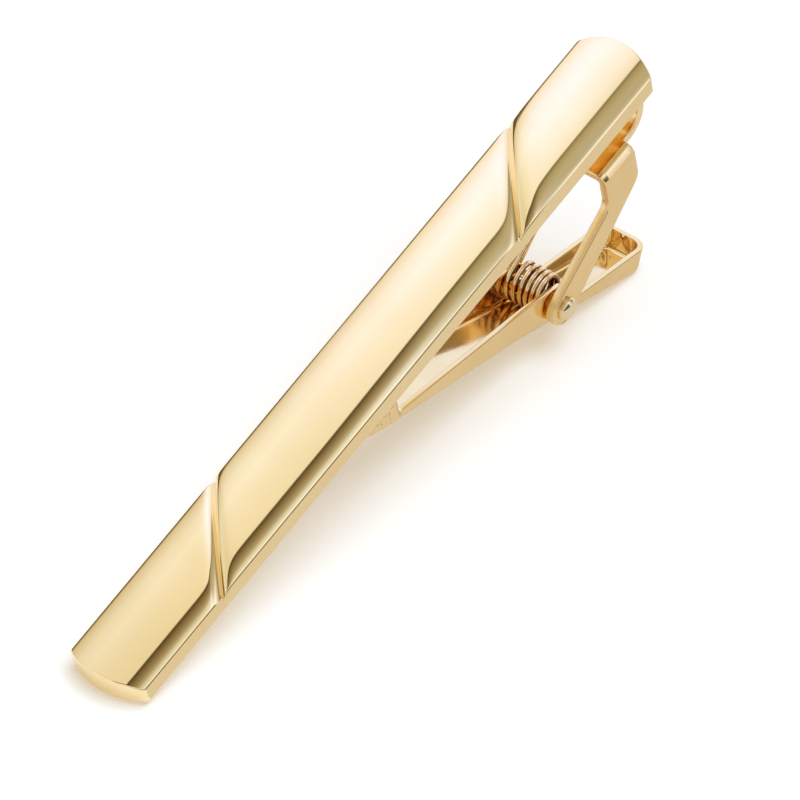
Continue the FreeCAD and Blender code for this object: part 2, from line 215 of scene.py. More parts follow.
def thicken(piece: bpy.types.Object, sheet: float) -> None:
    """Gives a sheet its thickness, away from its normals, with its second material on the cut edges.

    Args:
        piece: The sheet.
        sheet: Thickness in millimetres.
    """
    solid = piece.modifiers.new("sheet", "SOLIDIFY")
    solid.thickness = sheet * MM
    solid.offset = -1.0
    solid.use_even_offset = True
    solid.use_quality_normals = True
    solid.material_offset_rim = 1


def ease_edges(piece: bpy.types.Object, width: float, sharper_than: float = 35.0) -> None:
    """Rounds the sharp edges and keeps the faces between them flat.

    Args:
        piece: The piece.
        width: Width of the rounding in millimetres.
        sharper_than: Angle in degrees over which an edge counts as sharp.
    """
    bevel = piece.modifiers.new("eased edges", "BEVEL")
    bevel.width = width * MM
    bevel.segments = EDGE_SEGMENTS
    bevel.limit_method = "ANGLE"
    bevel.angle_limit = math.radians(sharper_than)
    bevel.use_clamp_overlap = False
    bevel.miter_outer = "MITER_SHARP"
    keep_flat(piece)


def keep_flat(piece: bpy.types.Object) -> None:
    """Lets the larger faces set the shading, so that flat stretches stay flat beside rounded edges."""
    flat = piece.modifiers.new("flat faces", "WEIGHTED_NORMAL")
    flat.weight = LARGE_FACE_WEIGHT


# Node tools


def fill_inputs(tree: bpy.types.NodeTree, node: bpy.types.Node, inputs: dict[str | int, Any]) -> None:
    """Fills a node's inputs with fixed values, or with links where a socket is given.

    Args:
        tree: The nodes that it belongs to.
        node: The node.
        inputs: A value or a socket for the name or number of each input.
    """
    for name, value in inputs.items():
        if isinstance(value, bpy.types.NodeSocket):
            tree.links.new(value, node.inputs[name])
        else:
            node.inputs[name].default_value = value


def add_node(
    tree: bpy.types.NodeTree, kind: str, inputs: dict[str | int, Any], **choices: str
) -> bpy.types.Node:
    """Adds a shader node, makes its choices and then fills its inputs.

    Args:
        tree: The nodes to add it to.
        kind: Blender's name of the node without the usual beginning.
        inputs: A value or a socket for the name or number of each input.
        **choices: The node's own choices, such as its operation.

    Returns:
        The new node.
    """
    node = tree.nodes.new(f"ShaderNode{kind}")
    for name, choice in choices.items():
        setattr(node, name, choice)
    fill_inputs(tree, node, inputs)
    return node


def calculate(tree: bpy.types.NodeTree, operation: str, *values: Any) -> bpy.types.NodeSocket:
    """Works out one operation on values or sockets and gives the socket of its result."""
    return add_node(tree, "Math", dict(enumerate(values)), operation=operation).outputs["Value"]


def soft_noise(
    tree: bpy.types.NodeTree, place: bpy.types.NodeSocket, scale: float, detail: float
) -> bpy.types.NodeSocket:
    """Gives the socket of a soft noise, with its scale per metre and its levels of finer detail."""
    inputs = {"Vector": place, "Scale": scale, "Detail": detail}
    return add_node(tree, "TexNoise", inputs).outputs["Fac"]


def part_way(
    tree: bpy.types.NodeTree,
    value: bpy.types.NodeSocket,
    given: tuple[float, float],
    wanted: tuple[float, float] = (0.0, 1.0),
) -> bpy.types.NodeSocket:
    """Turns a number's place in one range into the same place in another, and stops at its ends.

    Args:
        tree: The material's nodes.
        value: Where the number comes from.
        given: The range that the number lies in.
        wanted: The range of the result.

    Returns:
        The socket that gives the result.
    """
    ends = {"From Min": given[0], "From Max": given[1], "To Min": wanted[0], "To Max": wanted[1]}
    return add_node(tree, "MapRange", {"Value": value, **ends}).outputs["Result"]


def colour_stops(
    tree: bpy.types.NodeTree, value: bpy.types.NodeSocket, stops: tuple[Stop, ...]
) -> bpy.types.NodeSocket:
    """Turns a number into a colour that runs straight from stop to stop.

    Args:
        tree: The material's nodes.
        value: Where the number comes from.
        stops: Numbers in rising order, each with its colour.

    Returns:
        The socket that gives the colour.
    """
    low = stops[0][0]
    high = stops[-1][0]
    ramp = add_node(tree, "ValToRGB", {"Fac": part_way(tree, value, (low, high))})
    elements = ramp.color_ramp.elements
    elements[0].color = (*stops[0][1], 1.0)
    elements[-1].color = (*stops[-1][1], 1.0)
    for number, colour in stops[1:-1]:
        elements.new((number - low) / (high - low)).color = (*colour, 1.0)
    return ramp.outputs["Color"]


def mix_colours(
    tree: bpy.types.NodeTree, way: str, share: Any, first: Any, second: Any
) -> bpy.types.NodeSocket:
    """Mixes or multiplies two colours.

    Args:
        tree: The material's nodes.
        way: Blender's name of the way of mixing.
        share: The second colour's share, or the socket that gives it.
        first: The first colour, or the socket that gives it.
        second: The second colour, or the socket that gives it.

    Returns:
        The socket that gives the mixed colour.
    """
    inputs = {"Factor": share, "A": first, "B": second}
    return add_node(tree, "Mix", inputs, data_type="RGBA", blend_type=way).outputs["Result"]


def new_material(name: str) -> bpy.types.Material:
    """Makes a material of nodes.

    Args:
        name: Name of the material.

    Returns:
        The new material.
    """
    material = bpy.data.materials.new(name)
    material.use_nodes = True
    return material


def show_surface(tree: bpy.types.NodeTree, shader: bpy.types.NodeSocket) -> None:
    """Makes a shader the one that the material shows."""
    tree.links.new(shader, tree.nodes["Material Output"].inputs["Surface"])


# Finishes


@dataclass(frozen=True)
class Metal:
    """A bright metal: its colour, how blurred its reflections are, and the marks that polishing leaves."""

    name: str
    slot: Slot
    colour: Colour
    deeper: Colour
    cloud_scale: float
    roughness: float
    wave_height: float
    wave_scale: float
    grain: tuple[float, float, float]
    # Optional dark colour painted where the piece's attribute is low: painted shade.
    painted_gap_shade: Colour | None = None
    cloud_range: tuple[float, float] = (0.3, 0.6)
    cloud_detail: float = 3.0
    line_range: tuple[float, float] = (0.3, 0.7)
    line_detail: float = 4.0
    gloss_spread: float = 0.25
    wave_detail: float = 1.0

    def build(self) -> bpy.types.Material:
        """Makes the material: cloudy plating, polishing lines and a slow ripple, all in object coordinates.

        A metal with a dark shade colour has that colour, a painted shade, where the piece's own attribute is
        low.

        Returns:
            The material.
        """
        material = new_material(self.name)
        tree = material.node_tree
        place = add_node(tree, "TexCoord", {}).outputs["Object"]
        clouds = soft_noise(tree, place, self.cloud_scale, self.cloud_detail)
        colour = colour_stops(tree, clouds, tuple(zip(self.cloud_range, (self.deeper, self.colour))))
        if self.painted_gap_shade is not None:
            # Painted shade: the dark colour goes where the piece's attribute is low, between the spring's
            # turns.
            unshaded = add_node(tree, "Attribute", {}, attribute_name=OUTSIDE_GAP_SHADE).outputs["Fac"]
            colour = mix_colours(tree, "MIX", unshaded, (*self.painted_gap_shade, 1.0), colour)
        stretched = add_node(tree, "Mapping", {"Vector": place, "Scale": self.grain}).outputs["Vector"]
        lines = soft_noise(tree, stretched, 1.0, self.line_detail)
        finer = self.roughness * (1.0 - self.gloss_spread)
        coarser = self.roughness * (1.0 + self.gloss_spread)
        ripple = soft_noise(tree, place, self.wave_scale, self.wave_detail)
        wave = {"Strength": 1.0, "Distance": self.wave_height * MM, "Height": ripple}
        look = {
            "Metallic": 1.0,
            "Base Color": colour,
            "Roughness": part_way(tree, lines, self.line_range, (finer, coarser)),
            "Normal": add_node(tree, "Bump", wave).outputs["Normal"],
        }
        fill_inputs(tree, tree.nodes["Principled BSDF"], look)
        return material


BAR_GOLD = Metal(
    "mirror polished gold",
    Slot.BAR,
    colour=(0.93, 0.75, 0.43),
    deeper=(0.91, 0.72, 0.4),
    cloud_scale=180.0,
    roughness=0.055,
    wave_height=0.002,
    wave_scale=160.0,
    grain=(60.0, 2600.0, 2600.0),
)
SHEET_GOLD = Metal(
    "pressed sheet gold",
    Slot.SHEET,
    colour=(0.9, 0.69, 0.36),
    deeper=(0.87, 0.65, 0.32),
    cloud_scale=220.0,
    roughness=0.12,
    wave_height=0.008,
    wave_scale=420.0,
    grain=(900.0, 2400.0, 900.0),
)
# Rougher satin gold for the sheet's cut edges, painted paler and brighter than the sheet: real satin edge plus
# a painted highlight.
CUT_EDGE_SATIN_AND_HIGHLIGHT_GOLD = Metal(
    "cut edge satin gold with painted highlight",
    Slot.SHEET,
    colour=(1.0, 0.81, 0.48),
    deeper=(0.97, 0.78, 0.45),
    cloud_scale=220.0,
    roughness=0.4,
    wave_height=0.004,
    wave_scale=900.0,
    grain=(900.0, 2400.0, 900.0),
)
RIVET_GOLD = Metal(
    "pale rivet gold",
    Slot.RIVET,
    colour=(0.9, 0.76, 0.5),
    deeper=(0.86, 0.7, 0.42),
    cloud_scale=700.0,
    roughness=0.1,
    wave_height=0.006,
    wave_scale=900.0,
    grain=(2400.0, 500.0, 2400.0),
)
WIRE_BRONZE = Metal(
    "drawn bronze wire",
    Slot.WIRE,
    colour=(0.96, 0.78, 0.5),
    deeper=(0.75, 0.5, 0.27),
    cloud_scale=1600.0,
    roughness=0.06,
    wave_height=0.004,
    wave_scale=1500.0,
    grain=(1800.0, 3600.0, 1800.0),
    # Dark colour painted into the gaps between the coil's turns: painted shade.
    painted_gap_shade=(0.28, 0.13, 0.05),
)


# The clip


class ClipPiece(ABC):
    """A piece of the clip, with the node that it stands for, its metal and the body that it moves with."""

    node: str
    finish: Metal
    body: Body = Body.FRAME

    @abstractmethod
    def build(self) -> bpy.types.Object:
        """Makes the piece's mesh in its place."""

    def dress(self, piece: bpy.types.Object) -> None:
        """Puts the finish on the piece."""
        piece.data.materials.append(self.finish.build())

    def join(self, piece: bpy.types.Object) -> None:
        """Rides the piece on its body."""
        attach(piece, self.body.value)

    def settle(self) -> None:
        """Builds and dresses the piece, lets it stand for its node and move, and reports it."""
        piece = self.build()
        self.dress(piece)
        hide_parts(self.node)
        self.join(piece)
        faces = len(piece.data.polygons)
        log.info("%s stands for %s, with %d faces before its edges are eased", piece.name, self.node, faces)


@dataclass(frozen=True)
class Hinge:
    """Where the rivet lies: its place along the bar and its depth behind the bar's back."""

    place: float
    depth: float

    @classmethod
    def from_frame(cls, frame: dict[str, Any]) -> Hinge:
        """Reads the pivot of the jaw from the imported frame."""
        along, _, up = frame["joints"][0]["pos_m"]
        return cls(place=along / MM, depth=-up / MM)


@dataclass(frozen=True)
class FrontBar(ClipPiece):
    """The bar: a crowned strip with bowed ends and two slanting grooves with soft shoulders."""

    node = "front_bar"
    finish = BAR_GOLD

    length: float = 58.0
    width: float = 6.0
    edge: float = 1.4
    crown: float = 0.85
    end_bow: float = 0.95
    groove_place: float = 16.4
    groove_run: float = 7.1
    groove_offset: float = 0.2
    groove_depth: float = 0.42
    groove_round: float = 0.025
    gentle_flank: float = 0.16
    gentle_shoulder: float = 0.21
    steep_flank: float = 0.12
    steep_shoulder: float = 0.08
    rolls: tuple[tuple[float, float], ...] = ((0.2, 0.24), (0.26, 0.62))
    slant_end: float = 19.5
    corner_radius: float = 0.2
    edge_inset: float = 0.1
    end_round: float = 0.42
    groove_reach: float = 4.0
    groove_crowding: float = 3.6
    groove_lines: int = 97
    end_lines: int = 16
    middle_lines: int = 33
    edge_rows: int = 7
    columns: int = 61

    def stations(self, inset: float) -> np.ndarray:
        """Places of the grid's lines: crowded at the grooves, by a hyperbolic sine, and at the corners.

        Args:
            inset: How far the outline lies inside the bar's.

        Returns:
            Places along the middle of the bar.
        """
        even = np.linspace(-self.groove_crowding, self.groove_crowding, self.groove_lines)
        spread = self.groove_reach * np.sinh(even) / math.sinh(self.groove_crowding)
        shift = self.groove_offset * math.hypot(self.width, self.groove_run) / self.width
        first = shift - self.groove_place + spread
        second = shift + self.groove_place + spread
        _, sine = round_bend(0.0, 90.0)
        corner = self.length / 2 - self.corner_radius + (self.corner_radius - inset) * sine
        plain_end = np.linspace(-corner[0], first[0], self.end_lines)[1:-1]
        middle = np.linspace(first[-1], second[0], self.middle_lines)[1:-1]
        hinge_end = np.linspace(second[-1], corner[0], self.end_lines)[1:-1]
        return np.concatenate([-corner[::-1], plain_end, first, middle, second, hinge_end, corner])

    def bow_share(self, station: np.ndarray, inset: float) -> np.ndarray:
        """How far a line has turned from the grooves' slant into the bow of its end, from 0 to 1."""
        return smooth_step(np.abs(station), self.slant_end, self.length / 2 - inset)

    def plan(self, inset: float) -> tuple[np.ndarray, np.ndarray]:
        """Places of the grid in plan, for every station and column.

        Lines run along the grooves' slant in the middle of the bar and turn, towards each end, into the bow
        of that end, an arc with the given rise over the width. The last lines are shorter, by the arc of the
        rounded corners.

        Args:
            inset: How far the outline lies inside the bar's.

        Returns:
            Two arrays, along and across the bar.
        """
        station = self.stations(inset)[:, None]
        half = self.width / 2
        radius = self.corner_radius - inset
        over = np.clip(np.abs(station) - self.length / 2 + self.corner_radius, 0.0, radius)
        reach = half - self.corner_radius + np.sqrt(radius**2 - over**2)
        across = np.linspace(-1.0, 1.0, self.columns)[None, :] * reach
        pull = self.bow_share(station, inset)
        bow_radius = (half**2 + self.end_bow**2) / (2 * self.end_bow)
        bow = bow_radius - np.sqrt(bow_radius**2 - across**2)
        along = station + (1.0 - pull) * across * self.groove_run / self.width - np.sign(station) * pull * bow
        return along, across

    def groove_drop(self, along: np.ndarray, across: np.ndarray) -> np.ndarray:
        """Depth that the grooves take off the crown: straight flanks, a rounded bottom and soft shoulders.

        With the distance from the bottom, rounded by a square root, a flank falls off along a line, and from
        its upper end an exponential with the same slope carries on as the shoulder. On the steep side part of
        the depth falls off along a longer exponential, whose depth and reach are each groove's roll.

        Args:
            along: Places along the bar.
            across: Places across the bar.

        Returns:
            The depth at each place.
        """
        square_to = self.width / math.hypot(self.width, self.groove_run)
        from_line = along - across * self.groove_run / self.width
        drop = np.zeros_like(along)
        for place, (roll_depth, roll_reach) in zip((-self.groove_place, self.groove_place), self.rolls):
            off = (from_line - place) * square_to - self.groove_offset
            flank = np.where(off < 0.0, self.gentle_flank, self.steep_flank)
            shoulder = np.where(off < 0.0, self.gentle_shoulder, self.steep_shoulder)
            distance = np.hypot(off, self.groove_round)
            line = 1.0 - distance / (flank + shoulder)
            fade = shoulder / (flank + shoulder) * np.exp((flank - distance) / shoulder)
            roll = np.where(off < 0.0, 0.0, roll_depth)
            drop += (self.groove_depth - roll) * np.where(distance < flank, line, fade)
            drop += roll * np.exp(-distance / roll_reach)
        return drop

    def rim_strips(self, crown: np.ndarray, outline: np.ndarray, foot: np.ndarray) -> np.ndarray:
        """Rows of points round the outline: over the upper edge, down the wall and round the lower edge.

        The upper edge is an arc that leaves the crown at the crown's own slope and ends upright. The lower
        edge is a quarter of a circle, or of an ellipse where the outline turns, and wider under the bar's
        ends.

        Args:
            crown: The crown's rim, inside the outline.
            outline: The outline, point for point, whose heights aren't used.
            foot: The back's rim, inside the outline.

        Returns:
            Rows by points by three.
        """
        tangent = np.roll(outline, -1, axis=0) - np.roll(outline, 1, axis=0)
        sideways = np.abs(tangent[:, 0]) / np.hypot(tangent[:, 0], tangent[:, 1])
        across = np.abs(crown[:, 1])
        lean = np.arctan(sideways * across / np.sqrt(self.crown_radius**2 - across**2))
        radius = self.edge_inset / (1.0 - np.sin(lean))
        turn = lean + np.linspace(0.0, 1.0, self.edge_rows)[:, None] * (math.pi / 2 - lean)
        share = (np.sin(turn) - np.sin(lean)) / (1.0 - np.sin(lean))
        upper = crown + share[..., None] * (outline - crown)
        upper[..., 2] = crown[:, 2] - radius * (np.cos(lean) - np.cos(turn))
        cosine, sine = round_bend(0.0, 90.0)
        lower = foot + cosine[:, None, None] * (outline - foot)
        foot_radius = self.end_round + (self.edge_inset - self.end_round) * sideways
        lower[..., 2] = foot_radius * (1.0 - sine[:, None])
        return np.concatenate([upper, lower])

    @property
    def crown_radius(self) -> float:
        """Radius of the arc that rises by the crown over the bar's width."""
        return ((self.width / 2) ** 2 + self.crown**2) / (2 * self.crown)

    def build(self) -> bpy.types.Object:
        """Makes the bar: a crowned top and a flat back, with rounded edges and walls between them.

        Returns:
            The new object.
        """
        along, across = self.plan(self.edge_inset)
        rise = np.sqrt(self.crown_radius**2 - across**2) - (self.crown_radius - self.crown)
        top = place_points(along, across, self.edge + rise - self.groove_drop(along, across))
        station = self.stations(self.edge_inset)[:, None]
        pull = np.sign(station) * self.bow_share(station, self.edge_inset)
        back = place_points(along - pull * (self.end_round - self.edge_inset), across, 0.0)
        outline = place_points(*self.plan(0.0), 0.0)
        rows, columns = along.shape
        index = np.arange(rows * columns).reshape(rows, columns)
        rim = np.concatenate([index[0], index[1:, -1], index[-1, -2::-1], index[-2:0:-1, 0]])
        strips = self.rim_strips(*(grid.reshape(-1, 3)[rim] for grid in (top, outline, back)))
        quads = grid_quads(rows, columns)
        walls = grid_quads(len(strips), len(rim), ring=True)
        points = np.concatenate([top.reshape(-1, 3), back.reshape(-1, 3), strips.reshape(-1, 3)])
        faces = np.concatenate([quads, quads[:, ::-1] + rows * columns, walls + 2 * rows * columns])
        piece = new_piece("crowned_bar", *weld(points, faces))
        keep_flat(piece)
        return piece


@dataclass(frozen=True)
class HingeBracket(ClipPiece):
    """The bracket: one sheet, folded down into two cheeks and back on itself into a foot under the bar."""

    node = "hinge_bracket"
    finish = SHEET_GOLD
    cut_edge_and_highlight_finish = CUT_EDGE_SATIN_AND_HIGHLIGHT_GOLD

    hinge: Hinge
    sheet: float = 0.7
    half_width: float = 2.75
    bend_outside: float = 0.85
    base_depth: float = 4.05
    base_front: float = 22.3
    base_rear: float = 25.6
    fold_place: float = 26.1
    foot_front: float = 20.6
    ear_radius: float = 1.3
    leg_top_slope: float = 25.7
    leg_under_slope: float = 31.2
    knee_radius: float = 1.0
    heel_radius: float = 1.2
    edge_radius: float = 0.13
    ear_steps: int = 13
    cheek_lines: int = 90
    base_lines: int = 13
    rows: int = 7

    def leg_edge(self, level: np.ndarray, wall: float, slope: float, fillet: float, side: int) -> np.ndarray:
        """Place along the bar of one edge of a cheek at each level.

        The edge drops down a wall, turns through a fillet on to a line that touches the ear, and goes round
        the ear. Each stretch is a formula of the level, and they are joined where the line touches the arcs.

        Args:
            level: Heights, negative below the bar's back.
            wall: Place of the upright stretch along the bar.
            slope: Slope of the line to the bar, in degrees.
            fillet: Radius of the turn from the wall to the line.
            side: 1 for the edge above the line's ear, -1 for the edge below it.

        Returns:
            The place along the bar for each level.
        """
        angle = math.radians(slope)
        ear = -self.hinge.depth
        corner = ear + side * self.ear_radius / math.cos(angle) + (wall - self.hinge.place) * math.tan(angle)
        tangent = fillet / math.tan(math.radians(45.0 + slope / 2))
        on_line = wall + (level - corner) / math.tan(angle)
        turn_centre = wall - fillet
        drop = np.clip(corner + tangent - level, 0.0, fillet)
        on_turn = turn_centre + np.sqrt(fillet**2 - drop**2)
        half_chord = np.sqrt(np.clip(self.ear_radius**2 - (level - ear) ** 2, 0.0, None))
        on_ear = self.hinge.place - side * half_chord
        edge = np.where(level > corner - tangent * math.sin(angle), on_turn, on_line)
        edge = np.where(level > corner + tangent, wall, edge)
        touch = ear + side * self.ear_radius * math.cos(angle)
        return np.where(level < touch, on_ear, edge)

    def section(self) -> tuple[np.ndarray, np.ndarray]:
        """The sheet's outer line across the bar: up one cheek from the ear, over the base and down again.

        Returns:
            Two arrays, the place across the bar and the height.
        """
        base_top = self.sheet - self.base_depth
        bend = self.bend_outside
        _, rise = round_bend(-90.0, 0.0, self.ear_steps)
        round_foot = -self.hinge.depth + self.ear_radius * rise
        plain = np.linspace(-self.hinge.depth, base_top - bend, self.cheek_lines)
        cheek = np.concatenate([round_foot, plain[1:]])
        cosine, sine = round_bend(0.0, 90.0)
        bend_across = self.half_width - bend + bend * cosine[1:]
        bend_height = base_top - bend + bend * sine[1:]
        base = np.linspace(self.half_width - bend, bend - self.half_width, self.base_lines)[1:-1]
        half_across = np.concatenate([np.full(cheek.shape, self.half_width), bend_across])
        half_height = np.concatenate([cheek, bend_height])
        across = np.concatenate([half_across, base, -half_across[::-1]])
        height = np.concatenate([half_height, np.full(base.shape, base_top), half_height[::-1]])
        return across, height

    def build(self) -> bpy.types.Object:
        """Makes the bracket as one sheet of two grids, saddle and strip, that share the base's rear line.

        Returns:
            The new object.
        """
        across, height = self.section()
        front = self.leg_edge(height, self.base_front, self.leg_top_slope, self.knee_radius, 1)
        rear = self.leg_edge(height, self.base_rear, self.leg_under_slope, self.heel_radius, -1)
        part = np.linspace(0.0, 1.0, self.rows)[:, None]
        saddle = place_points(front + part * (rear - front), across, height)
        flat = np.abs(across) <= self.half_width - self.bend_outside + ROUNDING
        inside = self.base_depth / 2 - self.sheet
        cosine, sine = round_bend(-90.0, 90.0, FINE_BEND_STEPS)
        run = np.concatenate([[self.base_rear], self.fold_place + inside * cosine, [self.foot_front]])
        level = np.concatenate([[-1.0], sine, [1.0]]) * inside - self.base_depth / 2
        strip = place_points(run[:, None], across[flat], level[:, None])
        first = grid_quads(*saddle.shape[:2])
        second = grid_quads(*strip.shape[:2]) + saddle.shape[0] * saddle.shape[1]
        points = np.concatenate([saddle.reshape(-1, 3), strip.reshape(-1, 3)])
        piece = new_piece("folded_bracket", *weld(points, np.concatenate([first, second])), closed=False)
        thicken(piece, self.sheet)
        ease_edges(piece, self.edge_radius)
        return piece

    def dress(self, piece: bpy.types.Object) -> None:
        """Puts the finish on the sheet and on its cut edges the satin one, painted paler as a painted
        highlight.
        """
        super().dress(piece)
        piece.data.materials.append(self.cut_edge_and_highlight_finish.build())


@dataclass(frozen=True)
class HingePin(ClipPiece):
    """The rivet through the ears, with a low dome on each end."""

    node = "hinge_pin"
    finish = RIVET_GOLD

    hinge: Hinge
    half_width: float = 2.75
    shank_radius: float = 0.6
    head_radius: float = 0.85
    head_height: float = 0.6
    head_rim: float = 0.12
    edge_radius: float = 0.04
    sharp_angle: float = 50.0
    dome_steps: int = 13
    sides: int = 48

    def build(self) -> bpy.types.Object:
        """Makes the rivet: its outline, from one dome's pole to the other's, turned about the hinge's axis.

        Returns:
            The new object.
        """
        cosine, sine = round_bend(90.0, 0.0, self.dome_steps)
        dome_height = self.head_height - self.head_rim
        radius = np.concatenate([self.head_radius * cosine, [self.head_radius, self.shank_radius]])
        out = np.concatenate([dome_height * sine + self.head_rim, [0.0, 0.0]]) + self.half_width
        radius = np.concatenate([radius, radius[::-1]])
        out = np.concatenate([out, -out[::-1]])
        turn = np.linspace(0.0, 2 * math.pi, self.sides, endpoint=False)
        along = self.hinge.place + radius[:, None] * np.cos(turn)
        up = -self.hinge.depth + radius[:, None] * np.sin(turn)
        points = place_points(along, out[:, None], up)
        quads = grid_quads(len(radius), self.sides, ring=True)
        piece = new_piece("domed_rivet", *weld(points.reshape(-1, 3), quads))
        ease_edges(piece, self.edge_radius, self.sharp_angle)
        return piece


@dataclass(frozen=True)
class ClipJaw(ClipPiece):
    """The jaw: a pressed tray that flares to its mouth, with a toothed rim and a thumb tail."""

    node = "clip_jaw"
    finish = SHEET_GOLD
    body = Body.JAW

    hinge: Hinge
    sheet: float = 0.4
    hinge_half: float = 1.9
    mouth_half: float = 2.65
    reach: float = 22.6
    tail_reach: float = 11.3
    floor_drop: float = 1.7
    mouth_drop: float = 0.95
    mouth_gap: float = 0.08
    rim_slope: float = 6.4
    ear_radius: float = 1.25
    shoulder_slope: float = 45.0
    tail_rim: float = 0.3
    tail_dip: float = 1.0
    hinge_flat: float = 4.0
    mouth_flat: float = 2.3
    mouth_corner: float = 0.8
    tail_corner: float = 1.2
    floor_bend: float = 0.45
    inner_bend: float = 0.3
    dent_depth: float = 0.08
    dent_pitch: float = 1.5
    dent_run: float = 3.5
    small_dent_rate: float = 1.5
    small_dent_share: float = 0.35
    tooth_land: float = 0.45
    tooth_pitch: float = 0.87
    notch_width: float = 0.6
    notch_flank: float = 0.35
    tooth_count: int = 3
    edge_radius: float = 0.07
    lean_start: float = 0.5
    lean_fade: tuple[float, float] = (5.0, 9.0)
    least_step: float = 1e-4
    least_corner_share: float = 0.8
    lip_lines: int = 7
    land_lines: int = 6
    notch_steps: int = 17
    rim_lines: int = 40
    ear_steps: int = 21
    shoulder_lines: int = 10
    tail_lines: int = 20
    end_lines: int = 24
    edge_steps: int = 5
    wall_rows: int = 13
    floor_rows: int = 7

    @property
    def slope(self) -> float:
        """Slope of the closed jaw's floor to the bar.

        Returns:
            The angle in radians.
        """
        lever = math.hypot(self.reach, self.floor_drop)
        fall = math.asin((self.hinge.depth - self.mouth_drop) / lever)
        return fall + math.atan(self.floor_drop / self.reach)

    def to_bar(self, along: Places, across: Places, up: Places) -> np.ndarray:
        """Turns places in the jaw's own axes, from the pivot, into the frame of the part.

        Args:
            along: Places along the jaw, towards the tail.
            across: Places across it.
            up: Heights over the pivot.

        Returns:
            Points in the frame of the part.
        """
        cosine = math.cos(self.slope)
        sine = math.sin(self.slope)
        return place_points(
            self.hinge.place + along * cosine + up * sine,
            across,
            -self.hinge.depth - along * sine + up * cosine,
        )

    def plan(self) -> tuple[np.ndarray, np.ndarray, np.ndarray, np.ndarray]:
        """Half of the jaw's outline in plan, from the middle of the mouth to the middle of the tail.

        Returns:
            The distance travelled along the outline, the places along and across the jaw, and the angle of
            the line that points inwards.
        """
        cosine, sine = round_bend(180.0, 90.0, FINE_BEND_STEPS)
        quarter = np.radians(np.linspace(0.0, 90.0, FINE_BEND_STEPS))
        mouth = self.mouth_corner
        tail = self.tail_corner
        along = [-self.reach, *(mouth * cosine - self.reach + mouth)]
        across = [0.0, *(mouth * sine + self.mouth_half - mouth)]
        along += [self.mouth_flat - self.reach, -self.hinge_flat]
        across += [self.mouth_half, self.hinge_half]
        along += [*(self.tail_reach - tail - tail * cosine[::-1]), self.tail_reach]
        across += [*(tail * sine[::-1] + self.hinge_half - tail), 0.0]
        side = math.pi / 2
        inward = np.concatenate([[0.0], -quarter, [-side, -side], -side - quarter, [-math.pi]])
        travelled = np.concatenate([[0.0], np.cumsum(np.hypot(np.diff(along), np.diff(across)))])
        return travelled, np.array(along), np.array(across), inward

    def back_level(self, along: np.ndarray) -> np.ndarray:
        """Height, in the jaw's axes, of the bar's back less the clearance."""
        return (self.hinge.depth - self.mouth_gap + along * math.sin(self.slope)) / math.cos(self.slope)

    def teeth(self) -> tuple[np.ndarray, np.ndarray]:
        """The toothed stretch of the rim, in the jaw's axes: lands on the bar's back and round notches.

        Returns:
            The places along the jaw and the heights.
        """
        sine = math.sin(self.slope)
        cosine = math.cos(self.slope)
        back = self.hinge.depth - self.mouth_gap
        front = (self.hinge.depth * sine - self.reach) / cosine
        half = self.notch_width / 2
        round_along, round_up = round_bend(180.0, 360.0, self.notch_steps)
        notch_along = np.concatenate([[-half], half * round_along, [half]])
        notch_up = np.concatenate([[0.0], half * round_up - self.notch_flank, [0.0]])
        starts = front + self.tooth_land + self.tooth_pitch * np.arange(self.tooth_count) + half
        along = (starts[:, None] + notch_along).reshape(-1)
        up = np.tile(back + notch_up, self.tooth_count)
        end = front + self.tooth_land + self.tooth_count * self.tooth_pitch
        rim_angle = self.slope - math.radians(self.rim_slope)
        rim = (self.ear_radius - end * math.sin(rim_angle)) / math.cos(rim_angle)
        along = np.concatenate([along, [end, end]])
        up = np.concatenate([up, [back, rim]])
        return along * cosine - up * sine, along * sine + up * cosine

    def tail_level(self, along: np.ndarray) -> np.ndarray:
        """Height of the tail's rim, a line that climbs from under the pivot to the tail's end."""
        return along * (self.tail_rim + self.tail_dip) / self.tail_reach - self.tail_dip

    def rim(self) -> tuple[np.ndarray, np.ndarray]:
        """Half of the rim: lip, teeth, sloping rim, ear, shoulder and tail.

        The sloping rim and the shoulder touch the ear's circle, and the shoulder meets the tail's line where
        both have the same height.

        Returns:
            Distance along the outline and height, from the middle of the mouth to the middle of the tail.
        """
        travelled, along, _, _ = self.plan()
        lip = np.linspace(0.0, travelled[1], self.lip_lines)
        teeth_along, teeth_up = self.teeth()
        land = np.linspace(-self.reach, teeth_along[0], self.land_lines)[1:-1]
        ear_ends = (90.0 + self.rim_slope, 90.0 - self.shoulder_slope)
        ear_cosine, ear_sine = round_bend(*ear_ends, self.ear_steps)
        ear_along = self.ear_radius * ear_cosine
        slope = math.radians(self.rim_slope)
        wall_along = np.linspace(teeth_along[-1], ear_along[0], self.rim_lines)[1:-1]
        wall_up = self.ear_radius / math.cos(slope) + wall_along * math.tan(slope)
        fall = math.radians(self.shoulder_slope)
        tail_climb = (self.tail_rim + self.tail_dip) / self.tail_reach
        shoulder_end = self.ear_radius + self.tail_dip * math.cos(fall)
        shoulder_end /= math.sin(fall) + tail_climb * math.cos(fall)
        shoulder_along = np.linspace(ear_along[-1], shoulder_end, self.shoulder_lines)[1:]
        shoulder_up = (self.ear_radius - shoulder_along * math.sin(fall)) / math.cos(fall)
        tail_turn = self.tail_reach - self.tail_corner
        tail_along = np.linspace(shoulder_end, tail_turn, self.tail_lines)[1:]
        side_along = np.concatenate([land, teeth_along, wall_along, ear_along, shoulder_along, tail_along])
        ear_up = self.ear_radius * ear_sine
        tail_up = self.tail_level(tail_along)
        side_up = np.concatenate([self.back_level(land), teeth_up, wall_up, ear_up, shoulder_up, tail_up])
        side = np.interp(side_along, along[1:-1], travelled[1:-1])
        end = np.linspace(side[-1], travelled[-1], self.end_lines)[1:]
        lip_up = np.full(lip.shape, float(self.back_level(np.array(-self.reach))))
        end_up = self.tail_level(np.interp(end, travelled, along))
        return np.concatenate([lip, side, end]), np.concatenate([lip_up, side_up, end_up])

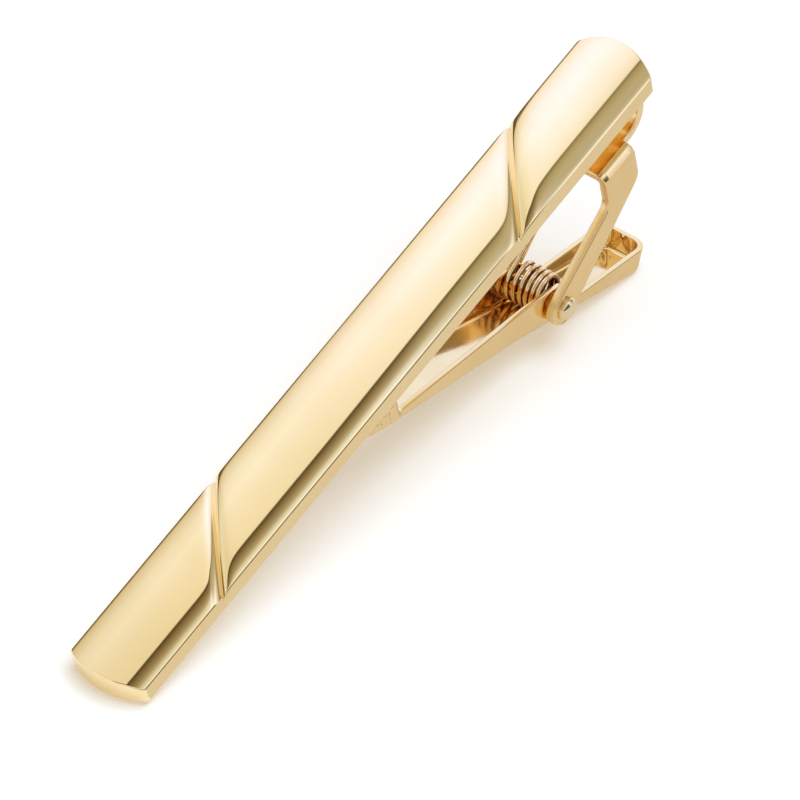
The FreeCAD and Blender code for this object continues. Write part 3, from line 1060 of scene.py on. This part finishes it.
    def foot(self, distance: np.ndarray, level: np.ndarray, wall_foot: float) -> np.ndarray:
        """Distance along the outline at which each line of the wall stands on the floor's bend.

        Near the mouth the lines lean as the teeth do, square to the bar, and further back they stand upright.

        Args:
            distance: Distance of the rim's points along the outline.
            level: Height of the rim's points.
            wall_foot: Height at which the wall meets the bend.

        Returns:
            Distances that never fall.
        """
        travelled, _, _, _ = self.plan()
        corner = travelled[1]
        past_corner = distance - corner
        fade = smooth_step(past_corner, *self.lean_fade)
        lean = smooth_step(past_corner, 0.0, self.lean_start) * (1.0 - fade)
        stand = distance + lean * (level - wall_foot) * math.tan(self.slope)
        steady = np.maximum.accumulate(stand) + self.least_step * np.arange(len(stand))
        return np.minimum(steady * travelled[-1] / max(steady[-1], travelled[-1]), travelled[-1])

    def into_sheet(self, distance: np.ndarray, level: np.ndarray) -> tuple[np.ndarray, np.ndarray]:
        """Directions from the rim's points into the sheet, square to the rim and longer at its corners.

        Args:
            distance: Distance of the rim's points along the outline.
            level: Height of the rim's points.

        Returns:
            The steps along the outline and upwards that go one unit into the sheet.
        """
        steps = np.stack([np.diff(distance), np.diff(level)])
        steps /= np.linalg.norm(steps, axis=0)
        before = np.concatenate([steps[:, :1], steps], axis=1)
        after = np.concatenate([steps, steps[:, -1:]], axis=1)
        share = np.maximum(1.0 + (before * after).sum(axis=0), self.least_corner_share)
        middle = (before + after) / share
        return middle[1], -middle[0]

    def inset_outline(self, distance: np.ndarray, depth: Places) -> tuple[np.ndarray, np.ndarray]:
        """Places at a depth inside the outline, square to it.

        Args:
            distance: Distance along the outline.
            depth: Depth inside it.

        Returns:
            The places along and across the jaw.
        """
        travelled, along, across, inward = self.plan()
        turn = np.interp(distance, travelled, inward)
        inset_along = np.interp(distance, travelled, along) + depth * np.cos(turn)
        inset_across = np.interp(distance, travelled, across) + depth * np.sin(turn)
        return inset_along, inset_across

    def on_wall(self, distance: np.ndarray, level: np.ndarray, depth: Places) -> np.ndarray:
        """Points at a distance along the outline, a height and a depth below the wall's outer face."""
        return self.to_bar(*self.inset_outline(distance, depth), level)

    def dents(self, distance: np.ndarray, part: np.ndarray) -> np.ndarray:
        """Height of the uneven marks that pressing leaves inside the tail's end.

        They are waves along the outline, the product of a cosine of the distance from the tail's middle and a
        sine of the way down the wall, and a second, weaker such product with shorter waves. They die out
        along the sides.

        Args:
            distance: Distance along the outline.
            part: Way down the wall, from 0 to 1.

        Returns:
            The height over the plain wall.
        """
        travelled, _, _, _ = self.plan()
        from_middle = travelled[-1] - distance
        near = 1.0 - smooth_step(from_middle, self.dent_run / 2, self.dent_run)
        wave = 2 * math.pi * from_middle / self.dent_pitch
        large = np.cos(wave) * np.sin(math.pi * part)
        small = np.cos(self.small_dent_rate * wave) * np.sin(2 * math.pi * part)
        return self.dent_depth * near * (large + self.small_dent_share * small)

    def face(self, distance: np.ndarray, level: np.ndarray, depth: float) -> np.ndarray:
        """One half of one face of the tray, from the rim down the wall, round the bend and over the floor.

        Args:
            distance: Distance of the face's upper edge along the outline.
            level: Height of the face's upper edge.
            depth: Depth below the outer face: 0 for that face and the sheet's thickness for the inner one.

        Returns:
            A grid of points, rows by columns by three, in the frame of the part.
        """
        is_inside = depth > 0.0
        bend_radius = self.inner_bend if is_inside else self.floor_bend
        wall_foot = depth + bend_radius - self.floor_drop
        stand = self.foot(distance, level, wall_foot)
        part = np.linspace(0.0, 1.0, self.wall_rows)[:, None]
        wall_distance = distance + part * (stand - distance)
        wall_depth = depth + is_inside * self.dents(wall_distance, part)
        wall = self.on_wall(wall_distance, level + part * (wall_foot - level), wall_depth)
        cosine, sine = round_bend(0.0, 90.0)
        inset = depth + bend_radius * (1.0 - cosine[1:, None])
        bend = self.on_wall(stand + 0.0 * inset, wall_foot - bend_radius * sine[1:, None], inset)
        edge_along, edge_across = self.inset_outline(stand, inset[-1])
        spine = np.clip(edge_along, self.mouth_half - self.reach, self.tail_reach - self.hinge_half)
        closing = np.linspace(0.0, 1.0, self.floor_rows)[1:, None]
        floor = self.to_bar(
            edge_along + closing * (spine - edge_along),
            edge_across * (1.0 - closing),
            depth - self.floor_drop,
        )
        return np.concatenate([wall, bend, floor])

    def build(self) -> bpy.types.Object:
        """Makes the jaw: outer face, rounded rim and inner face as one grid, joined to its mirror image.

        Returns:
            The new object.
        """
        distance, level = self.rim()
        into_distance, into_level = self.into_sheet(distance, level)
        cosine, sine = round_bend(0.0, 90.0, self.edge_steps)
        back_off = self.edge_radius * (1.0 - sine)
        depth = self.edge_radius * (1.0 - cosine)
        back_off = np.concatenate([back_off, back_off[::-1]])[:, None]
        depth = np.concatenate([depth, self.sheet - depth[::-1]])[:, None]
        edge_distance = distance + back_off * into_distance
        edge_level = level + back_off * into_level
        edge = self.on_wall(edge_distance, edge_level, depth)
        outer = self.face(edge_distance[0], edge_level[0], 0.0)
        inner = self.face(edge_distance[-1], edge_level[-1], self.sheet)
        half = np.concatenate([outer[:0:-1], edge, inner[1:]])
        other = half[:, ::-1] * np.array([1.0, -1.0, 1.0])
        loop = np.concatenate([half, other[:, 1:-1]], axis=1)
        quads = grid_quads(loop.shape[0], loop.shape[1], ring=True)
        piece = new_piece("toothed_jaw", *weld(loop.reshape(-1, 3), quads))
        keep_flat(piece)
        return piece


@dataclass(frozen=True)
class TorsionSpring(ClipPiece):
    """The spring: a coil round the rivet that loosens to one side.

    One leg lies on the tail's floor and the other bears on the bracket's base from below.
    """

    node = "torsion_spring"
    finish = WIRE_BRONZE

    jaw: ClipJaw
    wire: float = 0.36
    coil_radius: float = 1.35
    turns: int = 5
    loosening: float = 0.24
    side_play: float = 0.03
    seat_gap: float = 0.05
    base_depth: float = 4.05
    fixed_leg_slope: float = 21.0
    fixed_leg_run: float = 3.2
    fixed_leg_bend: float = 3.0
    fixed_leg_end_slope: float = 46.0
    moving_leg: float = 7.0
    # Beyond the coil's radius, the painted shade between the turns fades out between these distances.
    unshaded_from: float = 0.02
    unshaded_to: float = 0.13
    turn_lines: int = 50
    moving_leg_lines: int = 30
    fixed_leg_lines: int = 14
    leg_bend_lines: int = 12
    leg_end_lines: int = 12
    nose_steps: int = 6
    sides: int = 24

    @property
    def half_length(self) -> float:
        """Half the length of the coil's centre line along the rivet."""
        return self.jaw.hinge_half - self.jaw.sheet - self.side_play - self.wire / 2

    @property
    def middle(self) -> np.ndarray:
        """The coil's middle, straight over the rivet as seen from the jaw's floor.

        Returns:
            Its place along the bar and its height.
        """
        hinge = self.jaw.hinge
        slope = self.jaw.slope
        lift = self.jaw.sheet - self.jaw.floor_drop + self.seat_gap + self.wire / 2 + self.coil_radius
        return np.array([hinge.place + lift * math.sin(slope), lift * math.cos(slope) - hinge.depth])

    def centre_line(self) -> np.ndarray:
        """Points of the wire's centre line: leg, helix with level ends, leg with one bend.

        Returns:
            An array of points.
        """
        middle = self.middle
        rise = math.radians(self.fixed_leg_slope)
        first = 1.5 * math.pi - self.jaw.slope
        last = math.pi / 2 + rise - 2 * math.pi * self.turns
        part = np.linspace(0.0, 1.0, self.turns * self.turn_lines)
        angle = first + part * (last - first)
        coil_along = middle[0] + self.coil_radius * np.cos(angle)
        coil_up = middle[1] + self.coil_radius * np.sin(angle)
        coil_across = self.half_length * (2.0 * part - 1.0 - 2.0 * self.loosening * part * (1.0 - part))
        run = np.linspace(self.moving_leg, 0.0, self.moving_leg_lines)[:-1]
        moving_along = coil_along[0] + run * math.cos(self.jaw.slope)
        moving_up = coil_up[0] - run * math.sin(self.jaw.slope)
        lead = np.linspace(0.0, self.fixed_leg_run, self.fixed_leg_lines)[1:]
        lead_along = coil_along[-1] + lead * math.cos(rise)
        lead_up = coil_up[-1] + lead * math.sin(rise)
        end_rise = math.radians(self.fixed_leg_end_slope)
        bend = np.linspace(rise, end_rise, self.leg_bend_lines)[1:]
        bend_along = lead_along[-1] + self.fixed_leg_bend * (np.sin(bend) - math.sin(rise))
        bend_up = lead_up[-1] + self.fixed_leg_bend * (math.cos(rise) - np.cos(bend))
        seat = -self.base_depth - self.seat_gap - self.wire / 2 * (math.cos(end_rise) + math.sin(end_rise))
        climb = np.linspace(0.0, seat - bend_up[-1], self.leg_end_lines)[1:]
        end_along = bend_along[-1] + climb / math.tan(end_rise)
        along = np.concatenate([moving_along, coil_along, lead_along, bend_along, end_along])
        up = np.concatenate([moving_up, coil_up, lead_up, bend_up, bend_up[-1] + climb])
        moving_across = np.full(len(run), -self.half_length)
        fixed_across = np.full(len(lead) + len(bend) + len(climb), self.half_length)
        return place_points(along, np.concatenate([moving_across, coil_across, fixed_across]), up)

    def build(self) -> bpy.types.Object:
        """Makes the spring: a circle carried along the centre line, with a round nose at each end.

        The wire is painted darker between its turns, a painted shade: it keeps the metal's colour by how far a
        point lies beyond the coil's radius, so the legs and the outside of the turns keep it, and the sides
        between the turns take the dark colour.

        Returns:
            The new object.
        """
        line = self.centre_line()
        way = np.gradient(line, axis=0)
        way /= np.linalg.norm(way, axis=1, keepdims=True)
        outward = np.cross(way, [0.0, 1.0, 0.0])
        outward /= np.linalg.norm(outward, axis=1, keepdims=True)
        sideways = np.cross(way, outward)
        cosine, sine = round_bend(0.0, 90.0, self.nose_steps)
        radius = self.wire / 2
        nose = radius * sine[:0:-1, None]
        centres = np.concatenate([line[0] - nose * way[0], line, line[-1] + nose[::-1] * way[-1]])
        widths = radius * np.concatenate([cosine[:0:-1], np.ones(len(line)), cosine[1:]])
        pad = ((len(nose), len(nose)), (0, 0))
        outward = np.pad(outward, pad, mode="edge")
        sideways = np.pad(sideways, pad, mode="edge")
        turn = np.linspace(0.0, 2 * math.pi, self.sides, endpoint=False)[None, :, None]
        ring = outward[:, None] * np.cos(turn) + sideways[:, None] * np.sin(turn)
        points = centres[:, None] + widths[:, None, None] * ring
        points, faces = weld(points.reshape(-1, 3), grid_quads(len(centres), self.sides, ring=True))
        piece = new_piece("coiled_spring", points, faces)
        beyond = np.hypot(points[:, 0] - self.middle[0], points[:, 2] - self.middle[1]) - self.coil_radius
        # Share of the wire outside the painted shade between the turns.
        unshaded = piece.data.attributes.new(OUTSIDE_GAP_SHADE, "FLOAT", "POINT")
        share = smooth_step(beyond, self.unshaded_from, self.unshaded_to)
        unshaded.data.foreach_set("value", share.astype(np.float32))
        return piece

    def join(self, piece: bpy.types.Object) -> None:
        """Bakes the piece's place into its mesh and leaves it on no body."""
        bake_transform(piece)


# The studio


def show_to_reflections_only(item: bpy.types.Object) -> None:
    """Hides a studio item from everything but the reflections in the metal.

    Args:
        item: The item.
    """
    item.visible_camera = False
    item.visible_diffuse = False
    item.visible_shadow = False
    item.visible_transmission = False


@dataclass(frozen=True)
class Camera:
    """The photograph's camera: where it looks from, what it looks at and how far it is rolled."""

    azimuth: float = -44.48
    elevation: float = 54.69
    roll: float = -11.72
    target: tuple[float, float, float] = (-0.629, -3.085, 0.0)
    distance: float = 774.5
    lens: float = 540.0
    sensor: float = 36.0
    clip: tuple[float, float] = (0.01, 10.0)

    def build(self) -> bpy.types.Object:
        """Makes the camera from its angles and makes it the scene's.

        Returns:
            The camera.
        """
        turn = math.radians(self.azimuth)
        lift = math.radians(self.elevation)
        back = Vector((math.sin(turn) * math.cos(lift), -math.cos(turn) * math.cos(lift), math.sin(lift)))
        level = Vector((math.cos(turn), math.sin(turn), 0.0))
        upright = back.cross(level)
        roll = math.radians(self.roll)
        right = level * math.cos(roll) + upright * math.sin(roll)
        up = back.cross(right)
        data = bpy.data.cameras.new("camera")
        data.lens = self.lens
        data.sensor_width = self.sensor
        data.clip_start, data.clip_end = self.clip
        camera = add_object("camera", data)
        matrix = Matrix((right, up, back)).transposed().to_4x4()
        matrix.translation = (Vector(self.target) + back * self.distance) * MM
        camera.matrix_world = matrix
        bpy.context.scene.camera = camera
        return camera


@dataclass(frozen=True)
class Bands:
    """The tent's light round the bar at one place along it, by degrees from straight above towards +Y."""

    place: float
    stops: tuple[Stop, ...]


@dataclass(frozen=True)
class LightTent:
    """A half-round white tent that only reflections see, with one dark card on the camera's side.

    The bands run straight from one place along the bar to the next, except that all of them slide up by a few
    degrees between the two slide places. Each tint is a place along the bar and the colour that the bands are
    multiplied by there.
    """

    radius: float = 220.0
    half_length: float = 700.0
    low_angle: float = -110.0
    high_angle: float = 130.0
    slide: float = 3.9
    slide_places: tuple[float, float] = (88.0, 108.0)
    lines: int = 111
    bands: tuple[Bands, ...] = (
        Bands(
            96.0,
            (
                (-110.0, (0.2, 0.17, 0.13)),
                (-72.0, (0.12, 0.1, 0.07)),
                (-58.0, (0.6, 0.6, 0.6)),
                (-46.0, (1.15, 1.2, 1.3)),
                (-38.0, (1.05, 1.1, 1.15)),
                (-31.0, (0.82, 0.84, 0.84)),
                (-27.0, (0.49, 0.44, 0.33)),
                (-22.0, (0.33, 0.26, 0.15)),
                (-17.0, (0.2, 0.145, 0.07)),
                (-13.6, (0.06, 0.04, 0.01)),
                (-12.5, (0.97, 0.93, 0.82)),
                (11.0, (1.01, 0.98, 0.94)),
                (27.0, (1.03, 1.02, 1.05)),
                (43.0, (1.06, 1.08, 1.17)),
                (62.0, (1.0, 1.0, 1.05)),
                (76.0, (0.88, 0.83, 0.76)),
                (83.5, (0.78, 0.7, 0.57)),
                (86.5, (0.14, 0.1, 0.05)),
                (130.0, (0.12, 0.1, 0.07)),
            ),
        ),
        Bands(
            108.0,
            (
                (-110.0, (0.2, 0.17, 0.13)),
                (-76.0, (0.12, 0.1, 0.07)),
                (-62.0, (0.6, 0.6, 0.5)),
                (-50.0, (0.95, 0.96, 0.9)),
                (-42.0, (0.82, 0.83, 0.74)),
                (-34.0, (0.57, 0.57, 0.44)),
                (-26.0, (0.47, 0.43, 0.25)),
                (-18.0, (0.34, 0.29, 0.14)),
                (-13.6, (0.1, 0.07, 0.02)),
                (-12.5, (0.94, 0.94, 0.76)),
                (7.0, (0.99, 0.98, 0.93)),
                (23.0, (1.02, 1.05, 1.07)),
                (39.0, (1.06, 1.1, 1.2)),
                (58.0, (1.0, 1.01, 1.05)),
                (72.0, (0.92, 0.9, 0.78)),
                (80.2, (0.9, 0.82, 0.62)),
                (83.0, (0.16, 0.12, 0.05)),
                (130.0, (0.12, 0.1, 0.06)),
            ),
        ),
        Bands(
            121.0,
            (
                (-110.0, (0.8, 0.76, 0.64)),
                (-74.0, (0.95, 0.93, 0.82)),
                (-49.0, (1.05, 1.06, 0.98)),
                (-42.0, (0.62, 0.6, 0.45)),
                (-34.0, (0.46, 0.44, 0.29)),
                (-26.0, (0.47, 0.43, 0.25)),
                (-18.0, (0.4, 0.345, 0.16)),
                (-13.6, (0.2, 0.16, 0.06)),
                (-12.5, (0.88, 0.88, 0.7)),
                (7.0, (1.0, 1.0, 0.97)),
                (23.0, (1.02, 1.05, 1.1)),
                (39.0, (1.06, 1.1, 1.24)),
                (58.0, (1.0, 1.04, 1.16)),
                (72.0, (0.95, 0.94, 0.9)),
                (80.2, (0.9, 0.85, 0.68)),
                (83.0, (0.16, 0.12, 0.05)),
                (130.0, (0.12, 0.1, 0.06)),
            ),
        ),
        Bands(
            300.0,
            (
                (-110.0, (0.2, 0.17, 0.1)),
                (-64.0, (0.4, 0.33, 0.18)),
                (-44.0, (0.5, 0.43, 0.24)),
                (-14.0, (0.3, 0.25, 0.13)),
                (2.0, (0.8, 0.8, 0.7)),
                (23.0, (0.9, 0.9, 0.85)),
                (80.0, (0.86, 0.94, 0.97)),
                (130.0, (0.86, 0.94, 0.97)),
            ),
        ),
    )
    tints: tuple[Stop, ...] = (
        (50.0, (0.86, 0.87, 0.84)),
        (71.0, (0.97, 0.98, 0.97)),
        (87.0, (1.02, 1.06, 1.15)),
        (97.0, (1.07, 1.12, 1.33)),
        (107.0, (1.1, 1.14, 1.46)),
        (125.0, (1.17, 1.22, 1.7)),
    )

    def material(self) -> bpy.types.Material:
        """Makes a glow that follows the angle round the bar and the place along it.

        Each set of bands gives way to the next along the bar, and the tints are multiplied in.

        Returns:
            The material.
        """
        material = new_material("tent glow")
        tree = material.node_tree
        tree.nodes.remove(tree.nodes["Principled BSDF"])
        place = add_node(tree, "TexCoord", {}).outputs["Object"]
        parts = add_node(tree, "SeparateXYZ", {"Vector": place}).outputs
        along = calculate(tree, "DIVIDE", parts["X"], MM)
        angle = calculate(tree, "DEGREES", calculate(tree, "ARCTAN2", parts["Y"], parts["Z"]))
        angle = calculate(tree, "MULTIPLY_ADD", part_way(tree, along, self.slide_places), -self.slide, angle)
        shown = colour_stops(tree, angle, self.bands[0].stops)
        for before, after in zip(self.bands, self.bands[1:]):
            share = part_way(tree, along, (before.place, after.place))
            shown = mix_colours(tree, "MIX", share, shown, colour_stops(tree, angle, after.stops))
        shown = mix_colours(tree, "MULTIPLY", 1.0, shown, colour_stops(tree, along, self.tints))
        show_surface(tree, add_node(tree, "Emission", {"Color": shown}).outputs["Emission"])
        return material

    def build(self) -> bpy.types.Object:
        """Makes the tent: an arc about the bar's length, carried along it.

        Returns:
            The tent.
        """
        angle = np.radians(np.linspace(self.low_angle, self.high_angle, self.lines))
        along = np.array([-self.half_length, self.half_length])[:, None]
        points = place_points(along, self.radius * np.sin(angle), self.radius * np.cos(angle))
        quads = grid_quads(len(along), self.lines).tolist()
        tent = new_piece("light_tent", points.reshape(-1, 3), quads, closed=False)
        tent.data.materials.append(self.material())
        show_to_reflections_only(tent)
        return tent


@dataclass(frozen=True)
class Floor:
    """The pale table that the clip lies on, touching the bar's plain end and the heel of the jaw's tail."""

    jaw: ClipJaw
    bar_half: float = 29.0
    half_size: float = 1500.0
    clearance: float = 0.02
    # Cool lit colour and warm glow that add to white; where the lamp's shadow falls the warm glow is left:
    # painted warm bounce light.
    colour: Colour = (0.47, 0.57, 0.69)
    glow: Colour = (0.53, 0.43, 0.31)
    # Warm grey that dims the table where the metal reflects it: painted shade in the reflections.
    reflection_shade: Colour = (0.76, 0.71, 0.64)
    reflection_shade_start: float = 1.6
    reflection_shade_size: float = 160.0
    reflection_shade_edge: float = 4.0
    reflection_shade_height: float = 0.01

    def material(self) -> bpy.types.Material:
        """Makes a backlit matt white that is clear from behind, so that the clip's underside shows. Its glow
        is warm and its lit colour cool, so the lamp's shadows keep the warm glow: painted warm bounce light.

        Returns:
            The material.
        """
        material = new_material("pale table")
        tree = material.node_tree
        shader = tree.nodes["Principled BSDF"]
        look = {
            "Base Color": (*self.colour, 1.0),
            "Emission Color": (*self.glow, 1.0),
            "Emission Strength": 1.0,
            "Roughness": 1.0,
            "Specular IOR Level": 0.0,
        }
        fill_inputs(tree, shader, look)
        behind = add_node(tree, "NewGeometry", {}).outputs["Backfacing"]
        clear = add_node(tree, "BsdfTransparent", {}).outputs["BSDF"]
        sides = {"Fac": behind, 1: shader.outputs["BSDF"], 2: clear}
        show_surface(tree, add_node(tree, "MixShader", sides).outputs["Shader"])
        return material

    def reflection_shade_material(self) -> bpy.types.Material:
        """Makes a clear warm grey, which dims what lies under it: painted shade on the table as the metal
        reflects it.

        Returns:
            The material.
        """
        material = new_material("warm painted reflection shade")
        tree = material.node_tree
        tree.nodes.remove(tree.nodes["Principled BSDF"])
        show_surface(tree, add_node(tree, "BsdfTransparent", {"Color": (*self.reflection_shade, 1.0)}).outputs["BSDF"])
        return material

    def slope(self) -> float:
        """Fall of the table to the bar: the line from the bar's end that touches the tail's round heel.

        Returns:
            The angle in radians.
        """
        jaw = self.jaw
        heel = jaw.to_bar(jaw.tail_reach - jaw.floor_bend, 0.0, jaw.floor_bend - jaw.floor_drop)
        run = heel[0] + self.bar_half
        return math.atan2(heel[2], run) - math.asin(jaw.floor_bend / math.hypot(run, heel[2]))

    def normal(self) -> np.ndarray:
        """The direction that points straight up from the table."""
        return np.array([-math.sin(self.slope()), 0.0, math.cos(self.slope())])

    def sheet(
        self,
        name: str,
        start: float,
        reach: float,
        far_side: float,
        height: float,
        material: bpy.types.Material,
    ) -> bpy.types.Object:
        """Makes a flat sheet that lies along the table and moves with the jaw, whose tail rests on it.

        Args:
            name: Name of the object.
            start: Where it starts along the slope, from the bar's end on.
            reach: How far it goes from the bar's end, along the slope and to the camera's side.
            far_side: How far it goes to the other side.
            height: Height over the table.
            material: What it is made of.

        Returns:
            The new object.
        """
        down_slope = np.array([math.cos(self.slope()), 0.0, math.sin(self.slope())])
        corner = np.array([-self.bar_half, 0.0, 0.0]) + (height - self.clearance) * self.normal()
        sides = np.array([-reach, far_side])[:, None, None] * np.array([0.0, 1.0, 0.0])
        points = corner + sides + np.array([start, reach])[None, :, None] * down_slope
        sheet = new_piece(name, points.reshape(-1, 3), [[0, 1, 3, 2]], closed=False)
        sheet.data.materials.append(material)
        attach(sheet, Body.JAW.value)
        return sheet

    def build(self) -> None:
        """Makes the table, and on it a warm grey sheet that only reflections see: painted shade on the table
        in the metal's reflections.
        """
        self.sheet("table", -self.half_size, self.half_size, self.half_size, 0.0, self.material())
        # Painted shade: a dimming sheet that only the metal's reflections see.
        reflection_shade = self.sheet(
            "reflection_shade", self.reflection_shade_start, self.reflection_shade_size, self.reflection_shade_edge, self.reflection_shade_height, self.reflection_shade_material()
        )
        show_to_reflections_only(reflection_shade)


@dataclass(frozen=True)
class Lamp:
    """A wide even light above the table, a little to the camera's side, which gives the table its shadows."""

    table: Floor
    lean: float = 11.0
    spread: float = 48.0
    strength: float = 2.63

    def build(self) -> bpy.types.Object:
        """Makes the lamp, which leans from the table's normal towards -Y and doesn't show in the metal.

        Returns:
            The lamp.
        """
        lean = math.radians(self.lean)
        towards = Vector(self.table.normal()) * math.cos(lean) + Vector((0.0, -math.sin(lean), 0.0))
        data = bpy.data.lights.new("soft_box", "SUN")
        data.angle = math.radians(self.spread)
        data.energy = self.strength
        lamp = add_object("soft_box", data)
        lamp.rotation_euler = towards.to_track_quat("Z", "Y").to_euler()
        lamp.visible_glossy = False
        return lamp


def white_surroundings(strength: float = 0.2) -> None:
    """Makes the world an even white, which the camera and the metal see at full strength.

    Args:
        strength: Light that the world gives to matt surfaces.
    """
    world = bpy.data.worlds.new("studio")
    bpy.context.scene.world = world
    world.use_nodes = True
    tree = world.node_tree
    path = add_node(tree, "LightPath", {}).outputs
    seen = path["Is Camera Ray"]
    for ray in ("Is Glossy Ray", "Is Transmission Ray"):
        seen = calculate(tree, "MAXIMUM", seen, path[ray])
    level = part_way(tree, seen, (0.0, 1.0), (strength, 1.0))
    fill_inputs(tree, tree.nodes["Background"], {"Color": (1.0, 1.0, 1.0, 1.0), "Strength": level})


def main() -> None:
    """Loads the frame, builds and dresses each piece, and sets up the studio."""
    logging.basicConfig(level=logging.INFO, format="%(message)s")
    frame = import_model()
    bpy.context.scene.view_settings.view_transform = "Standard"
    bpy.context.scene.cycles.glossy_bounces = GLOSSY_BOUNCES
    hinge = Hinge.from_frame(frame)
    jaw = ClipJaw(hinge)
    for piece in (FrontBar(), HingeBracket(hinge), HingePin(hinge), jaw, TorsionSpring(jaw)):
        piece.settle()
    white_surroundings()
    LightTent().build()
    table = Floor(jaw)
    table.build()
    Lamp(table).build()
    Camera().build()


if __name__ == "__main__":
    main()
